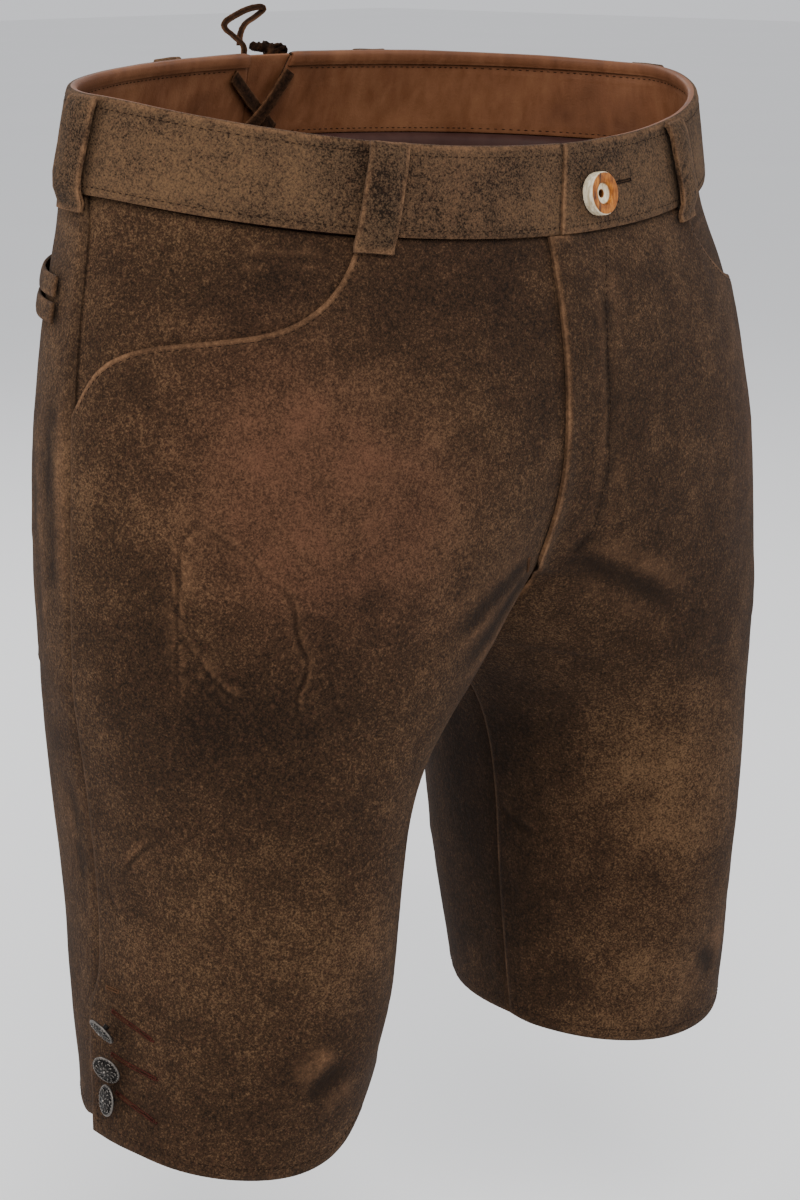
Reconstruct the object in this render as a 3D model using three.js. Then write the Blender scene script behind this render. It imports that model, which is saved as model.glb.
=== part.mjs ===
// Short leather lederhosen, filled out with no wearer: trunk, two legs, waistband, lacing, buttons.
// Millimetres, +Z up. The front faces -Y and the wearer's right is -X. The origin is the middle of
// the waist, at the height of the rim over the side seams. A drop is a distance down from the rim.
import * as THREE from "three";
import { mergeVertices } from "three/addons/utils/BufferGeometryUtils.js";

// ---- driving dimensions ----
const SIDE_LENGTH = 465;
const BAND_HEIGHT = 42;
const INNER_BAND_HEIGHT = 40;
const LINING_DEPTH = 60;
const WALL = 1.8;
const BAND_WALL = 1.5;
const FACING_WALL = 1.2;
const FACING_OUT = -2.4;
const GAP = 0.3;
const RIM_DIP = -25;
const RIM_RISE = 9;
const HEM_DIP = -14;
const HEM_RISE = 3;

// Each half of the garment is an ellipse at every drop. Its centre stands out from the middle of
// the body; where the half width is less than that the ellipse is a whole leg, and above that the
// two halves meet in the middle plane. The seam is the angle of the side seam, with the inseam at
// 0 degrees, the front at 90 and the side at 180.
const SECTIONS = [
  { drop: 0, centre: 0, half: 181, front: 101, back: 85, mid: 14, seam: 183 },
  { drop: 46, centre: 0, half: 185, front: 106, back: 104, mid: 13, seam: 182 },
  { drop: 93, centre: 16, half: 182, front: 110, back: 110, mid: 7, seam: 181 },
  { drop: 153, centre: 47, half: 159, front: 109, back: 114, mid: 3, seam: 181 },
  { drop: 209, centre: 80, half: 127, front: 98, back: 110, mid: -1, seam: 184 },
  { drop: 256, centre: 102, half: 102, front: 91, back: 108, mid: -4, seam: 188 },
  { drop: 302, centre: 118, half: 77, front: 86, back: 107, mid: -4, seam: 190 },
  { drop: 381, centre: 121, half: 67, front: 82, back: 97, mid: -4, seam: 192 },
  { drop: SIDE_LENGTH, centre: 125, half: 69, front: 57, back: 86, mid: -11, seam: 194 },
];

// Drops of the rows of every leg panel, closer together round the crotch and at the hem slit.
const PANEL_TOP = BAND_HEIGHT + GAP;
const ROWS = [
  PANEL_TOP, 60, 80, 102, 126, 150, 172, 190, 202, 212, 226, 238, 247, 252.5, 255.5,
  258, 262, 270, 284, 304, 332, 362, 390, 398, 406, 424, 445, SIDE_LENGTH,
];
const FRONT_SHARES = [0, 0.08, 0.2, 0.32, 0.39, 0.41, 0.44, 0.48, 0.54, 0.62, 0.72, 0.82, 0.9, 0.95, 1];
const BACK_SHARES = [0, 0.08, 0.2, 0.35, 0.5, 0.65, 0.8, 0.92, 1];

// The curved mouth of the front pocket, from the waist seam to the side seam.
const POCKET_EDGE = [
  { share: 0.39, drop: PANEL_TOP },
  { share: 0.41, drop: 55 },
  { share: 0.44, drop: 66 },
  { share: 0.48, drop: 76 },
  { share: 0.54, drop: 85 },
  { share: 0.62, drop: 90 },
  { share: 0.72, drop: 95 },
  { share: 0.82, drop: 100 },
  { share: 0.9, drop: 108 },
  { share: 0.95, drop: 117 },
  { share: 1, drop: 134 },
];
const POCKET_FLOOR = 150;
const POCKET_START = 0.36;
const POCKET_UNDERLAP = 14;

// The left front laps over the right at the fly, and each front over its back at the hem slit.
const FLY = { lap: 11, lift: 2.5, fade: 22, shut: 202, end: 212, flat: 226 };
const SLIT = { lap: 6, lift: 2.4, top: 390, raised: 398, open: 406, fade: 0.1 };
const SLIT_FACING = { reach: 18, top: 396, bottom: 461, out: -3.2 };
const CORNER_RISE = 9;

// The waistband's tab ends with the fly. A plain stand behind it carries the button.
const TAB_EDGE = { top: 3, foot: -4 };
const TAB_GAP = 0.5;
const TAB_LIFT = 1.6;
const TAB_FADE = 40;
const STAND = { from: -26, to: 34, top: 6, bottom: 39, out: -3.8 };

const GUSSET = { rim: 14, foot: 3 };
const LOOPS = { width: 18, thickness: 2.2, slant: 8, arcs: { front: 94, side: 229, back: 376 } };
const LACE_THICK = 3;
const WELT = { height: 9, thickness: 1.5, from: 24, to: 142, step: 10 };
const WELT_DROPS = { upper: 78, lower: 89 };

const BUTTON_GAP = 0.5;
const HORN = { radius: 9.8, thickness: 6.5, hole: 1.6, arc: 20, drop: 25 };
const PEWTER = { radius: 7.2, edge: 1.5, dome: 1.2, shank: 1.8, shankHeight: 2.6, ahead: 15 };
const HEM_BUTTONS = [
  { name: "top", drop: 410, back: 10, droop: 35 },
  { name: "middle", drop: 428, back: -12, droop: 20 },
  { name: "bottom", drop: 444, back: 16, droop: -6 },
];

// ---- materials ----
const suede = () => new THREE.MeshStandardMaterial({ color: 0x4a382a, roughness: 0.95, metalness: 0 });
const bandSuede = () => new THREE.MeshStandardMaterial({ color: 0x564230, roughness: 0.93, metalness: 0 });
const chestnut = () => new THREE.MeshStandardMaterial({ color: 0x734a30, roughness: 0.6, metalness: 0 });
const lining = () => new THREE.MeshStandardMaterial({ color: 0x35251f, roughness: 0.9, metalness: 0 });
const thong = () => new THREE.MeshStandardMaterial({ color: 0x2f211c, roughness: 0.7, metalness: 0 });
const horn = () => new THREE.MeshStandardMaterial({ color: 0xb98546, roughness: 0.35, metalness: 0 });
const pewter = () => new THREE.MeshStandardMaterial({ color: 0x7a726d, roughness: 0.45, metalness: 0.9 });

// ---- the form ----
const rad = THREE.MathUtils.degToRad;
const FRONT_ANGLE = rad(90);
const BACK_ANGLE = rad(270);
const COLUMNS = ["centre", "half", "front", "back", "mid", "seam"];

// A curve's slope at a row: flat where the column stands still or turns back there.
function slope(index, column) {
  const here = SECTIONS[index];
  const before = SECTIONS[Math.max(index - 1, 0)];
  const after = SECTIONS[Math.min(index + 1, SECTIONS.length - 1)];
  const inner = index > 0 && index < SECTIONS.length - 1;
  if (inner && (here[column] - before[column]) * (after[column] - here[column]) <= 0) return 0;
  return (after[column] - before[column]) / (after.drop - before.drop);
}

// The row of the table at any drop, on a smooth curve through the rows given.
function section(drop) {
  const last = SECTIONS.length - 2;
  const found = SECTIONS.findIndex((row) => row.drop > drop) - 1;
  const index = found < -1 ? last : Math.max(found, 0);
  const [low, high] = [SECTIONS[index], SECTIONS[index + 1]];
  const span = high.drop - low.drop;
  const t = THREE.MathUtils.clamp((drop - low.drop) / span, 0, 1);
  const ease = t * t * (3 - 2 * t);
  const result = {};
  for (const column of COLUMNS) {
    const leave = t * (1 - t) ** 2 * span * slope(index, column);
    const arrive = t * t * (t - 1) * span * slope(index + 1, column);
    result[column] = low[column] * (1 - ease) + high[column] * ease + leave + arrive;
  }
  return result;
}

// A point of the form. Side is 1 for the wearer's left half and -1 for the right.
function place(side, drop, angle) {
  const row = section(drop);
  const turn = Math.sin(angle);
  const ahead = turn > 0;
  const share = drop / SIDE_LENGTH;
  const rim = (1 - share) * (ahead ? RIM_DIP : RIM_RISE) * Math.abs(turn) ** 1.5;
  const hem = share ** 3 * (ahead ? HEM_DIP : HEM_RISE) * Math.abs(turn);
  return new THREE.Vector3(
    side * (row.centre - row.half * Math.cos(angle)),
    row.mid - (ahead ? row.front : row.back) * turn,
    rim + hem - drop,
  );
}

function outward(side, drop, angle) {
  const step = 0.01;
  const round = place(side, drop, angle + step).sub(place(side, drop, angle - step));
  const down = place(side, drop + 1, angle).sub(place(side, drop - 1, angle));
  const normal = round.cross(down).normalize();
  const row = section(drop);
  const radial = place(side, drop, angle).sub(new THREE.Vector3(side * row.centre, row.mid, 0)).setZ(0);
  return radial.dot(normal) < 0 ? normal.negate() : normal;
}

// A point moved out of the form by a distance.
function skin({ side, drop, angle, out = 0 }) {
  return place(side, drop, angle).addScaledVector(outward(side, drop, angle), out);
}

// Where a half's ellipse meets the middle plane: 0 on a whole leg.
function startAngle(drop) {
  const row = section(drop);
  return Math.acos(Math.min(row.centre / row.half, 1));
}

// How many millimetres of cloth one radian takes.
function speed(drop, angle) {
  const row = section(drop);
  const depth = Math.sin(angle) > 0 ? row.front : row.back;
  return Math.hypot(row.half * Math.sin(angle), depth * Math.cos(angle));
}

// The angle at an arc length from the centre front, which may be on the other side of it.
function angleAtArc(arc, drop) {
  const step = Math.sign(arc) * 2;
  let angle = startAngle(drop);
  for (let left = Math.abs(arc); left > 0; left -= 2) {
    angle += (step * Math.min(left, 2)) / 2 / speed(drop, angle);
  }
  return angle;
}

// ---- closed shells from grids ----
function solidFrom(points, triangles) {
  const geometry = new THREE.BufferGeometry();
  const flat = points.flatMap((p) => [p.x, p.y, p.z]);
  geometry.setAttribute("position", new THREE.Float32BufferAttribute(flat, 3));
  let volume = 0;
  for (const [a, b, c] of triangles) {
    volume += points[a].dot(points[b].clone().cross(points[c]));
  }
  const facing = volume > 0 ? triangles : triangles.map(([a, b, c]) => [a, c, b]);
  geometry.setIndex(facing.flat());
  geometry.computeVertexNormals();
  return geometry;
}

// Two grids of the same size, the outer and the inner skin, joined round their edges.
function shell(outer, inner) {
  const [high, wide] = [outer.length, outer[0].length];
  const points = [...outer.flat(), ...inner.flat()];
  const out = (i, j) => i * wide + j;
  const back = (i, j) => high * wide + i * wide + j;
  const triangles = [];
  const quad = (a, b, c, d) => triangles.push([a, b, c], [a, c, d]);
  for (let i = 0; i < high - 1; i += 1) {
    for (let j = 0; j < wide - 1; j += 1) {
      quad(out(i, j), out(i, j + 1), out(i + 1, j + 1), out(i + 1, j));
      quad(back(i, j), back(i + 1, j), back(i + 1, j + 1), back(i, j + 1));
    }
    quad(out(i, 0), out(i + 1, 0), back(i + 1, 0), back(i, 0));
    quad(out(i + 1, wide - 1), out(i, wide - 1), back(i, wide - 1), back(i + 1, wide - 1));
  }
  for (let j = 0; j < wide - 1; j += 1) {
    quad(out(0, j + 1), out(0, j), back(0, j), back(0, j + 1));
    quad(out(high - 1, j), out(high - 1, j + 1), back(high - 1, j + 1), back(high - 1, j));
  }
  return solidFrom(points, triangles);
}

// A closed profile of out and drop, carried through stations, with an end cap at each end.
function sweep(profile, stations, pointAt) {
  const count = profile.length;
  const points = stations.flatMap((station) => profile.map((p) => pointAt(station, p)));
  const triangles = [];
  for (let s = 0; s < stations.length - 1; s += 1) {
    for (let k = 0; k < count; k += 1) {
      const [a, b] = [s * count + k, s * count + ((k + 1) % count)];
      triangles.push([a, b, b + count], [a, b + count, a + count]);
    }
  }
  const flat = profile.map((p) => new THREE.Vector2(p.out, p.drop));
  const clockwise = THREE.ShapeUtils.isClockWise(flat);
  const last = (stations.length - 1) * count;
  for (const [a, b, c] of THREE.ShapeUtils.triangulateShape(flat, [])) {
    const [p, q] = clockwise ? [b, c] : [c, b];
    triangles.push([a, p, q], [last + a, last + q, last + p]);
  }
  return solidFrom(points, triangles);
}

const steps = (count) => Array.from({ length: count + 1 }, (_, k) => k / count);
const smooth = (value, from, to) => THREE.MathUtils.smoothstep(value, from, to);

// ---- leg panels ----
function pocketEdge(share) {
  const next = POCKET_EDGE.findIndex((row) => row.share >= share);
  if (next <= 0) return PANEL_TOP;
  const [low, high] = [POCKET_EDGE[next - 1], POCKET_EDGE[next]];
  return THREE.MathUtils.mapLinear(share, low.share, high.share, low.drop, high.drop);
}

// Rows above the pocket floor close up under the pocket's mouth.
function frontDrop(drop, share) {
  if (drop >= POCKET_FLOOR) return drop;
  return THREE.MathUtils.mapLinear(drop, PANEL_TOP, POCKET_FLOOR, pocketEdge(share), POCKET_FLOOR);
}

function keepToSide(point, side) {
  point.x = side * Math.max(side * point.x, GAP / 2);
  return point;
}

// The back panel's angles run the other way round the ellipse, from minus the start angle.
function seamAngles(drop, back) {
  const start = startAngle(drop);
  const seam = rad(section(drop).seam);
  const [from, to] = back ? [-start, seam - 2 * Math.PI] : [start, seam];
  const gapAt = (angle) => (Math.sign(to - from) * GAP) / 2 / speed(drop, angle);
  return { from: from + gapAt(from), to: to - gapAt(to) };
}

function panelPoint({ side, drop, share, back, out, slide = 0 }) {
  const { from, to } = seamAngles(drop, back);
  const end = to + slide / speed(drop, to);
  return keepToSide(skin({ side, drop, angle: from + (end - from) * share, out }), side);
}

function slitLift(drop, share) {
  const near = smooth(share, 1 - SLIT.fade, 1 - SLIT.fade / 2);
  return SLIT.lift * near * smooth(drop, SLIT.top, SLIT.raised);
}

// The lap at the fly: a distance past the centre front, and a lift that lets it lie on the right.
function flyPoint(drop, offset, depth) {
  const edge = -FLY.lap * (1 - smooth(drop, FLY.shut, FLY.end));
  const arc = edge + offset;
  const raise = 1 - smooth(drop, FLY.end, FLY.flat);
  const lift = FLY.lift * raise * (1 - smooth(arc, 0, FLY.fade));
  const side = arc < 0 ? -1 : 1;
  const angle = startAngle(drop) + Math.max(Math.abs(arc), GAP / 2) / speed(drop, startAngle(drop));
  const point = skin({ side, drop, angle, out: 0 });
  const normal = outward(side, drop, angle);
  normal.x *= THREE.MathUtils.lerp(1, Math.min(Math.abs(arc) / FLY.fade, 1), raise);
  point.addScaledVector(normal.normalize(), lift - depth);
  return raise > 0 ? point : keepToSide(point, 1);
}

function frontPanel(side, lapped) {
  const flyOffsets = lapped ? [0, 4.5, 9, 15] : [];
  const shares = lapped ? FRONT_SHARES.slice(1) : FRONT_SHARES;
  const grid = (depth) => ROWS.map((row) => [
    ...flyOffsets.map((offset) => flyPoint(row, offset, depth)),
    ...shares.map((share) => {
      const drop = frontDrop(row, share);
      const slide = SLIT.lap * smooth(drop, SLIT.raised, SLIT.open) * smooth(share, 1 - SLIT.fade, 1);
      const out = slitLift(drop, share) - depth;
      return panelPoint({ side, drop, share, back: false, out, slide });
    }),
  ]);
  return shell(grid(0), grid(WALL));
}

// The back's hem rises round the corner beside the slit.
function backPanel(side) {
  const grid = (depth) => ROWS.map((row) => BACK_SHARES.map((share) => {
    const corner = CORNER_RISE * smooth(share, 0.9, 1) * smooth(row, SLIT.open, SIDE_LENGTH);
    return panelPoint({ side, drop: row - corner, share, back: true, out: -depth });
  }));
  return shell(grid(0), grid(WALL));
}

// The facing that shows above the pocket's mouth, one wall behind the front panel.
function pocketFacing(side) {
  const shares = FRONT_SHARES.filter((share) => share >= POCKET_START + 0.03);
  const columns = [POCKET_START, ...shares];
  const grid = (depth) => steps(5).map((t) => columns.map((share) => {
    const foot = pocketEdge(share) + POCKET_UNDERLAP;
    const drop = THREE.MathUtils.lerp(PANEL_TOP + GAP, foot, t);
    return panelPoint({ side, drop, share, back: false, out: FACING_OUT - depth });
  }));
  return shell(grid(0), grid(FACING_WALL));
}

// The strip behind both edges of the slit that the hem buttons are sewn to.
function slitFacing(side) {
  const grid = (depth) => steps(5).map((t) => [-1, -0.5, 0, 0.5, 1].map((reach) => {
    const drop = THREE.MathUtils.lerp(SLIT_FACING.top, SLIT_FACING.bottom, t);
    const seam = rad(section(drop).seam);
    const angle = seam + (reach * SLIT_FACING.reach) / speed(drop, seam);
    return skin({ side, drop, angle, out: SLIT_FACING.out - depth });
  }));
  return shell(grid(0), grid(BAND_WALL));
}

// ---- waistband ----
const BAND_OUT = 0.2 + BAND_WALL;
const OUTER_BAND = [
  { out: BAND_OUT, drop: BAND_HEIGHT },
  { out: BAND_OUT, drop: 28 },
  { out: BAND_OUT, drop: 14 },
  { out: BAND_OUT, drop: 1.6 },
  { out: 1.1, drop: 0.2 },
  { out: 0.2, drop: -0.2 },
  { out: -1.9, drop: -0.2 },
  { out: -2.9, drop: 0.3 },
  { out: -3.4, drop: 1.5 },
  { out: -3.4, drop: 5.5 },
  { out: -1.9, drop: 5.5 },
  { out: -1.9, drop: 1.4 },
  { out: 0.2, drop: 1.4 },
  { out: 0.2, drop: 14 },
  { out: 0.2, drop: 28 },
  { out: 0.2, drop: BAND_HEIGHT },
];
const INNER_BAND = [
  { out: -0.1, drop: 1.7 },
  { out: -0.1, drop: 14 },
  { out: -0.1, drop: 28 },
  { out: -0.1, drop: INNER_BAND_HEIGHT },
  { out: -1.6, drop: INNER_BAND_HEIGHT },
  { out: -1.6, drop: 28 },
  { out: -1.6, drop: 14 },
  { out: -1.6, drop: 1.7 },
];
const LINING = [
  { out: -0.6, drop: INNER_BAND_HEIGHT + GAP },
  { out: -4.2, drop: BAND_HEIGHT - 0.5 },
  { out: -5.7, drop: BAND_HEIGHT + 3 },
  { out: -5.7, drop: LINING_DEPTH },
  { out: -6.7, drop: LINING_DEPTH },
  { out: -6.7, drop: BAND_HEIGHT + 2.5 },
  { out: -5.3, drop: BAND_HEIGHT - 1 },
  { out: -1.6, drop: INNER_BAND_HEIGHT + GAP },
];

function gussetHalf(drop) {
  const share = THREE.MathUtils.clamp(drop / BAND_HEIGHT, 0, 1);
  return THREE.MathUtils.lerp(GUSSET.rim, GUSSET.foot, share);
}

// The end of a band piece at the back, which leans in down the V of the gusset.
const bandEnd = (drop) => BACK_ANGLE - (gussetHalf(drop) + GAP) / speed(drop, BACK_ANGLE);

function tabRise(arc) {
  return TAB_LIFT * (1 - smooth(arc, 0, TAB_FADE));
}

// The tab's end leans a little, and the right band stops just short of it.
const tabEnd = (drop) => THREE.MathUtils.lerp(TAB_EDGE.top, TAB_EDGE.foot, drop / BAND_HEIGHT);
const rightEnd = (drop) => TAB_GAP - tabEnd(drop);
const liningStart = () => STAND.to + 4;
const liningEnd = (drop) => BACK_ANGLE - GAP / speed(drop, BACK_ANGLE);

// A profile carried round one half of the waist, from an arc by the centre front to the back.
function bandPiece(side, profile, startArc, endAngle) {
  const shares = steps(30);
  if (side > 0) shares.splice(1, 0, 0.008, 0.02);
  return sweep(profile, shares, (share, p) => {
    const from = FRONT_ANGLE + startArc(p.drop) / speed(p.drop, FRONT_ANGLE);
    const angle = THREE.MathUtils.lerp(from, endAngle(p.drop), share);
    const arc = (angle - FRONT_ANGLE) * speed(p.drop, FRONT_ANGLE);
    const out = p.out + (side > 0 ? tabRise(arc) : 0);
    return skin({ side, drop: p.drop, angle, out });
  });
}

// The stand under the tab, from behind the right band's end to past the button.
function buttonStand() {
  const grid = (depth) => steps(3).map((t) => steps(6).map((u) => {
    const drop = THREE.MathUtils.lerp(STAND.top, STAND.bottom, t);
    const arc = THREE.MathUtils.lerp(STAND.from, STAND.to, u);
    return skin({ side: 1, drop, angle: FRONT_ANGLE + arc / speed(drop, FRONT_ANGLE), out: STAND.out - depth });
  }));
  return shell(grid(0), grid(BAND_WALL));
}

// A point near the centre back: arc is positive towards the wearer's left.
function backPoint(arc, drop, out) {
  const angle = BACK_ANGLE - Math.abs(arc) / speed(drop, BACK_ANGLE);
  return skin({ side: arc < 0 ? -1 : 1, drop, angle, out });
}

function backGusset() {
  const grid = (out) => steps(6).map((t) => [-1, -0.5, 0, 0.5, 1].map((u) => {
    const drop = THREE.MathUtils.lerp(1, INNER_BAND_HEIGHT - 1, t);
    return backPoint(u * (gussetHalf(drop) - GAP), drop, out);
  }));
  return shell(grid(0.9), grid(-0.9));
}

// ---- belt loops ----
const LOOP_PATH = [
  { out: 3.1, drop: 0.6 },
  { out: 4.3, drop: 1.8 },
  { out: 5.4, drop: 7 },
  { out: 5.4, drop: 34 },
  { out: 4.5, drop: 40.5 },
  { out: 2.1, drop: 46 },
  { out: 2.1, drop: 50 },
];

// A path widened into a closed profile, by half the thickness to each side of it.
function strap(path, thickness) {
  const sideOf = (sign) => path.map((p, k) => {
    const before = path[Math.max(k - 1, 0)];
    const after = path[Math.min(k + 1, path.length - 1)];
    const along = new THREE.Vector2(after.out - before.out, after.drop - before.drop).normalize();
    const reach = (sign * thickness) / 2;
    return { out: p.out + along.y * reach, drop: p.drop - along.x * reach };
  });
  return [...sideOf(1), ...sideOf(-1).reverse()];
}

function beltLoop(side, arc) {
  const profile = strap(LOOP_PATH, LOOPS.thickness);
  return sweep(profile, [-1, 0, 1], (u, p) => {
    const slid = (LOOPS.slant * p.drop) / BAND_HEIGHT;
    const angle = angleAtArc(arc + slid + (u * LOOPS.width) / 2, 0);
    return skin({ side, drop: p.drop, angle, out: p.out });
  });
}

// ---- back pocket ----
const WELT_MIDDLE = rad(225);

function welt(side, drop) {
  const count = Math.round((WELT.to - WELT.from) / WELT.step);
  const grid = (out) => [0, WELT.height].map((below) => steps(count).map((u) => {
    const seam = rad(section(drop).seam);
    const arc = THREE.MathUtils.lerp(WELT.from, WELT.to, u);
    return skin({ side, drop: drop + below, angle: seam + arc / speed(drop, WELT_MIDDLE), out });
  }));
  return shell(grid(GAP + WELT.thickness), grid(GAP));
}

// ---- lacing ----
function cordAlong(points, thickness) {
  const curve = new THREE.CatmullRomCurve3(points);
  const section = new THREE.Shape().absarc(0, 0, thickness / 2, 0, 2 * Math.PI);
  const stepCount = Math.max(6, Math.round(curve.getLength() / (2.5 * thickness)));
  return new THREE.ExtrudeGeometry(section, { steps: stepCount, curveSegments: 4, extrudePath: curve });
}

// Each thong lies on the band, and the second of a pair passes over the first.
const INSIDE = -1.6 - GAP - LACE_THICK / 2;
const OUTSIDE = BAND_OUT + GAP + LACE_THICK / 2;
const OVER = LACE_THICK + GAP;
const THONGS = {
  lace_inside_a: [
    { arc: -23, drop: 9, out: INSIDE },
    { arc: -8, drop: 20, out: INSIDE },
    { arc: 6, drop: 30.5, out: INSIDE },
    { arc: 13, drop: 36, out: INSIDE },
  ],
  lace_inside_b: [
    { arc: 14, drop: 8, out: INSIDE },
    { arc: 7, drop: 18, out: INSIDE - OVER },
    { arc: 1, drop: 27, out: INSIDE - OVER },
    { arc: -4, drop: 33, out: INSIDE - OVER },
    { arc: -9, drop: 38, out: INSIDE },
  ],
  lace_outside_a: [
    { arc: -19, drop: 36, out: OUTSIDE },
    { arc: 0, drop: 24, out: OUTSIDE },
    { arc: 19, drop: 12, out: OUTSIDE },
  ],
  lace_outside_b: [
    { arc: 19, drop: 36, out: OUTSIDE },
    { arc: 8, drop: 29, out: OUTSIDE + OVER },
    { arc: 0, drop: 24, out: OUTSIDE + OVER },
    { arc: -8, drop: 19, out: OUTSIDE + OVER },
    { arc: -19, drop: 12, out: OUTSIDE },
  ],
};

// The free loop stands up from the knot, a little behind the rim.
const FREE_LOOP = [
  { arc: -12, drop: 2, out: 4.2 },
  { arc: -13, drop: -2, out: 4.6 },
  { arc: -18, drop: -6, out: 5.5 },
  { arc: -23, drop: -9.5, out: 6.5 },
  { arc: -22, drop: -12, out: 7.5 },
  { arc: -15, drop: -14.5, out: 8.5 },
  { arc: -5, drop: -17, out: 9.5 },
  { arc: 4, drop: -17.5, out: 10.5 },
  { arc: 6, drop: -15.5, out: 11.5 },
  { arc: 1, drop: -12.5, out: 11.5 },
  { arc: -6, drop: -9.5, out: 10.8 },
  { arc: -10, drop: -5, out: 10 },
  { arc: -11, drop: 0, out: 9.4 },
];
const KNOT = { wide: 25, deep: 6, high: 11, arc: 6, out: 5.6, drop: 0.5 };

// Above the rim the form goes straight up from the rim itself.
function aboveRim({ arc, drop, out }) {
  const low = backPoint(arc, Math.max(drop, 0), out);
  return low.setZ(low.z + Math.max(-drop, 0));
}

function knot() {
  const geometry = new THREE.SphereGeometry(0.5, 14, 9);
  geometry.scale(KNOT.wide, KNOT.deep, KNOT.high);
  return geometry;
}

// ---- buttons ----
function ringProfile(points) {
  return points.map(([radius, height]) => new THREE.Vector2(radius, height));
}

// A horn disc, hollowed round its middle, with one hole and a rounded rim.
function hornButton() {
  const { radius, thickness, hole } = HORN;
  return new THREE.LatheGeometry(ringProfile([
    [hole, 0], [radius - 1.8, 0], [radius, 1.8], [radius, thickness - 1.6], [radius - 1.6, thickness],
    [radius - 4, thickness - 0.4], [radius - 6, thickness - 1.6], [hole, thickness - 1.6], [hole, 0],
  ]), 28);
}

// A thin domed disc on a short shank.
function pewterButton() {
  const { radius, edge, dome, shank, shankHeight } = PEWTER;
  const back = shankHeight;
  return new THREE.LatheGeometry(ringProfile([
    [0, 0], [shank, 0], [shank, back], [radius - 0.6, back], [radius, back + edge / 2],
    [radius - 0.6, back + edge], [radius * 0.5, back + edge + dome * 0.8], [0, back + edge + dome],
  ]), 18);
}

// ---- the scene graph ----
const lederhosen = new THREE.Group();

function add(name, geometry, material) {
  geometry.deleteAttribute("normal");
  geometry.deleteAttribute("uv");
  const merged = mergeVertices(geometry, 1e-4);
  merged.computeVertexNormals();
  const mesh = new THREE.Mesh(merged, material);
  mesh.name = name;
  lederhosen.add(mesh);
  return mesh;
}

// Stands a lathe on the form with its axis along a direction, which is the form's normal if none is given.
function standOn(mesh, spot, axis = outward(spot.side, spot.drop, spot.angle)) {
  mesh.position.copy(skin(spot));
  mesh.quaternion.setFromUnitVectors(new THREE.Vector3(0, 1, 0), axis);
}

// The hem buttons hang loosely, each turned towards the back and drooping by its own angles.
function addHemButtons(side, word) {
  for (const { name, drop, back, droop } of HEM_BUTTONS) {
    const mesh = add(`hem_button_${word}_${name}`, pewterButton(), pewter());
    const seam = rad(section(drop).seam);
    const angle = seam - PEWTER.ahead / speed(drop, seam);
    const flat = Math.cos(rad(droop));
    const axis = new THREE.Vector3(side * flat * Math.cos(rad(back)), flat * Math.sin(rad(back)), -Math.sin(rad(droop)));
    const lean = Math.sin(axis.angleTo(outward(side, drop, angle)));
    const clear = Math.max(0, PEWTER.radius * lean - PEWTER.shankHeight) + PEWTER.shank * lean;
    standOn(mesh, { side, drop, angle, out: SLIT.lift + BUTTON_GAP + clear }, axis);
  }
}

function addHalf(side, word) {
  const left = side > 0;
  add(`front_${word}`, frontPanel(side, left), suede());
  add(`back_${word}`, backPanel(side), suede());
  add(`pocket_facing_${word}`, pocketFacing(side), suede());
  add(`slit_facing_${word}`, slitFacing(side), suede());
  const start = left ? tabEnd : rightEnd;
  add(`waistband_${word}`, bandPiece(side, OUTER_BAND, start, bandEnd), bandSuede());
  add(`inner_band_${word}`, bandPiece(side, INNER_BAND, start, bandEnd), chestnut());
  add(`lining_${word}`, bandPiece(side, LINING, liningStart, liningEnd), lining());
  for (const [where, arc] of Object.entries(LOOPS.arcs)) {
    add(`belt_loop_${where}_${word}`, beltLoop(side, arc), bandSuede());
  }
  addHemButtons(side, word);
}

addHalf(-1, "right");
addHalf(1, "left");
add("button_stand", buttonStand(), bandSuede());
add("back_gusset", backGusset(), suede());
for (const [name, drop] of Object.entries(WELT_DROPS)) {
  add(`back_pocket_welt_${name}`, welt(-1, drop), suede());
}
for (const [name, path] of Object.entries(THONGS)) {
  add(name, cordAlong(path.map((p) => backPoint(p.arc, p.drop, p.out)), LACE_THICK), thong());
}
add("lace_loop", cordAlong(FREE_LOOP.map(aboveRim), LACE_THICK), thong());
const knotMesh = add("lace_knot", knot(), thong());
knotMesh.position.copy(aboveRim(KNOT));

const hornMesh = add("waist_button", hornButton(), horn());
const hornAngle = FRONT_ANGLE + HORN.arc / speed(HORN.drop, FRONT_ANGLE);
const hornOut = BAND_OUT + tabRise(HORN.arc) + BUTTON_GAP;
standOn(hornMesh, { side: 1, drop: HORN.drop, angle: hornAngle, out: hornOut });

export default lederhosen;
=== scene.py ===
"""Short suede lederhosen, filled out with no wearer: the looks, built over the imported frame.

Sizes in the tables are millimetres. A place on the garment is given by side (-1 the wearer's right),
drop below the waist's rim, and angle round the leg: 90 centre front, 180 side, 270 centre back.
"""

import math
import random

import bmesh
import bpy
import numpy as np
from mathutils import Matrix, Vector, noise
from mathutils.bvhtree import BVHTree
from mathutils.kdtree import KDTree


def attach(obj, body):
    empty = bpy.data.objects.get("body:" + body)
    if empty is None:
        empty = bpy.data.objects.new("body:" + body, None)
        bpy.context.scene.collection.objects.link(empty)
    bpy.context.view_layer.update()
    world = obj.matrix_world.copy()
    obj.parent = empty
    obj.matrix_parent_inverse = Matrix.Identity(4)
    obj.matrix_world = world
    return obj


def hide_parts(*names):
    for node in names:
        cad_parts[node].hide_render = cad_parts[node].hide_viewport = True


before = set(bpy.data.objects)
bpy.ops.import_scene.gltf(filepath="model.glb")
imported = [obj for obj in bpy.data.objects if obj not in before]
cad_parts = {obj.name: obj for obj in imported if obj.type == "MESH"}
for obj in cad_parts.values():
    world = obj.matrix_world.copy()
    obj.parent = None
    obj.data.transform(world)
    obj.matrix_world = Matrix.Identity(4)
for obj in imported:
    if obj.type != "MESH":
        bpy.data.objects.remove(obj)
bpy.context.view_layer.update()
MM = 0.001
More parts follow.
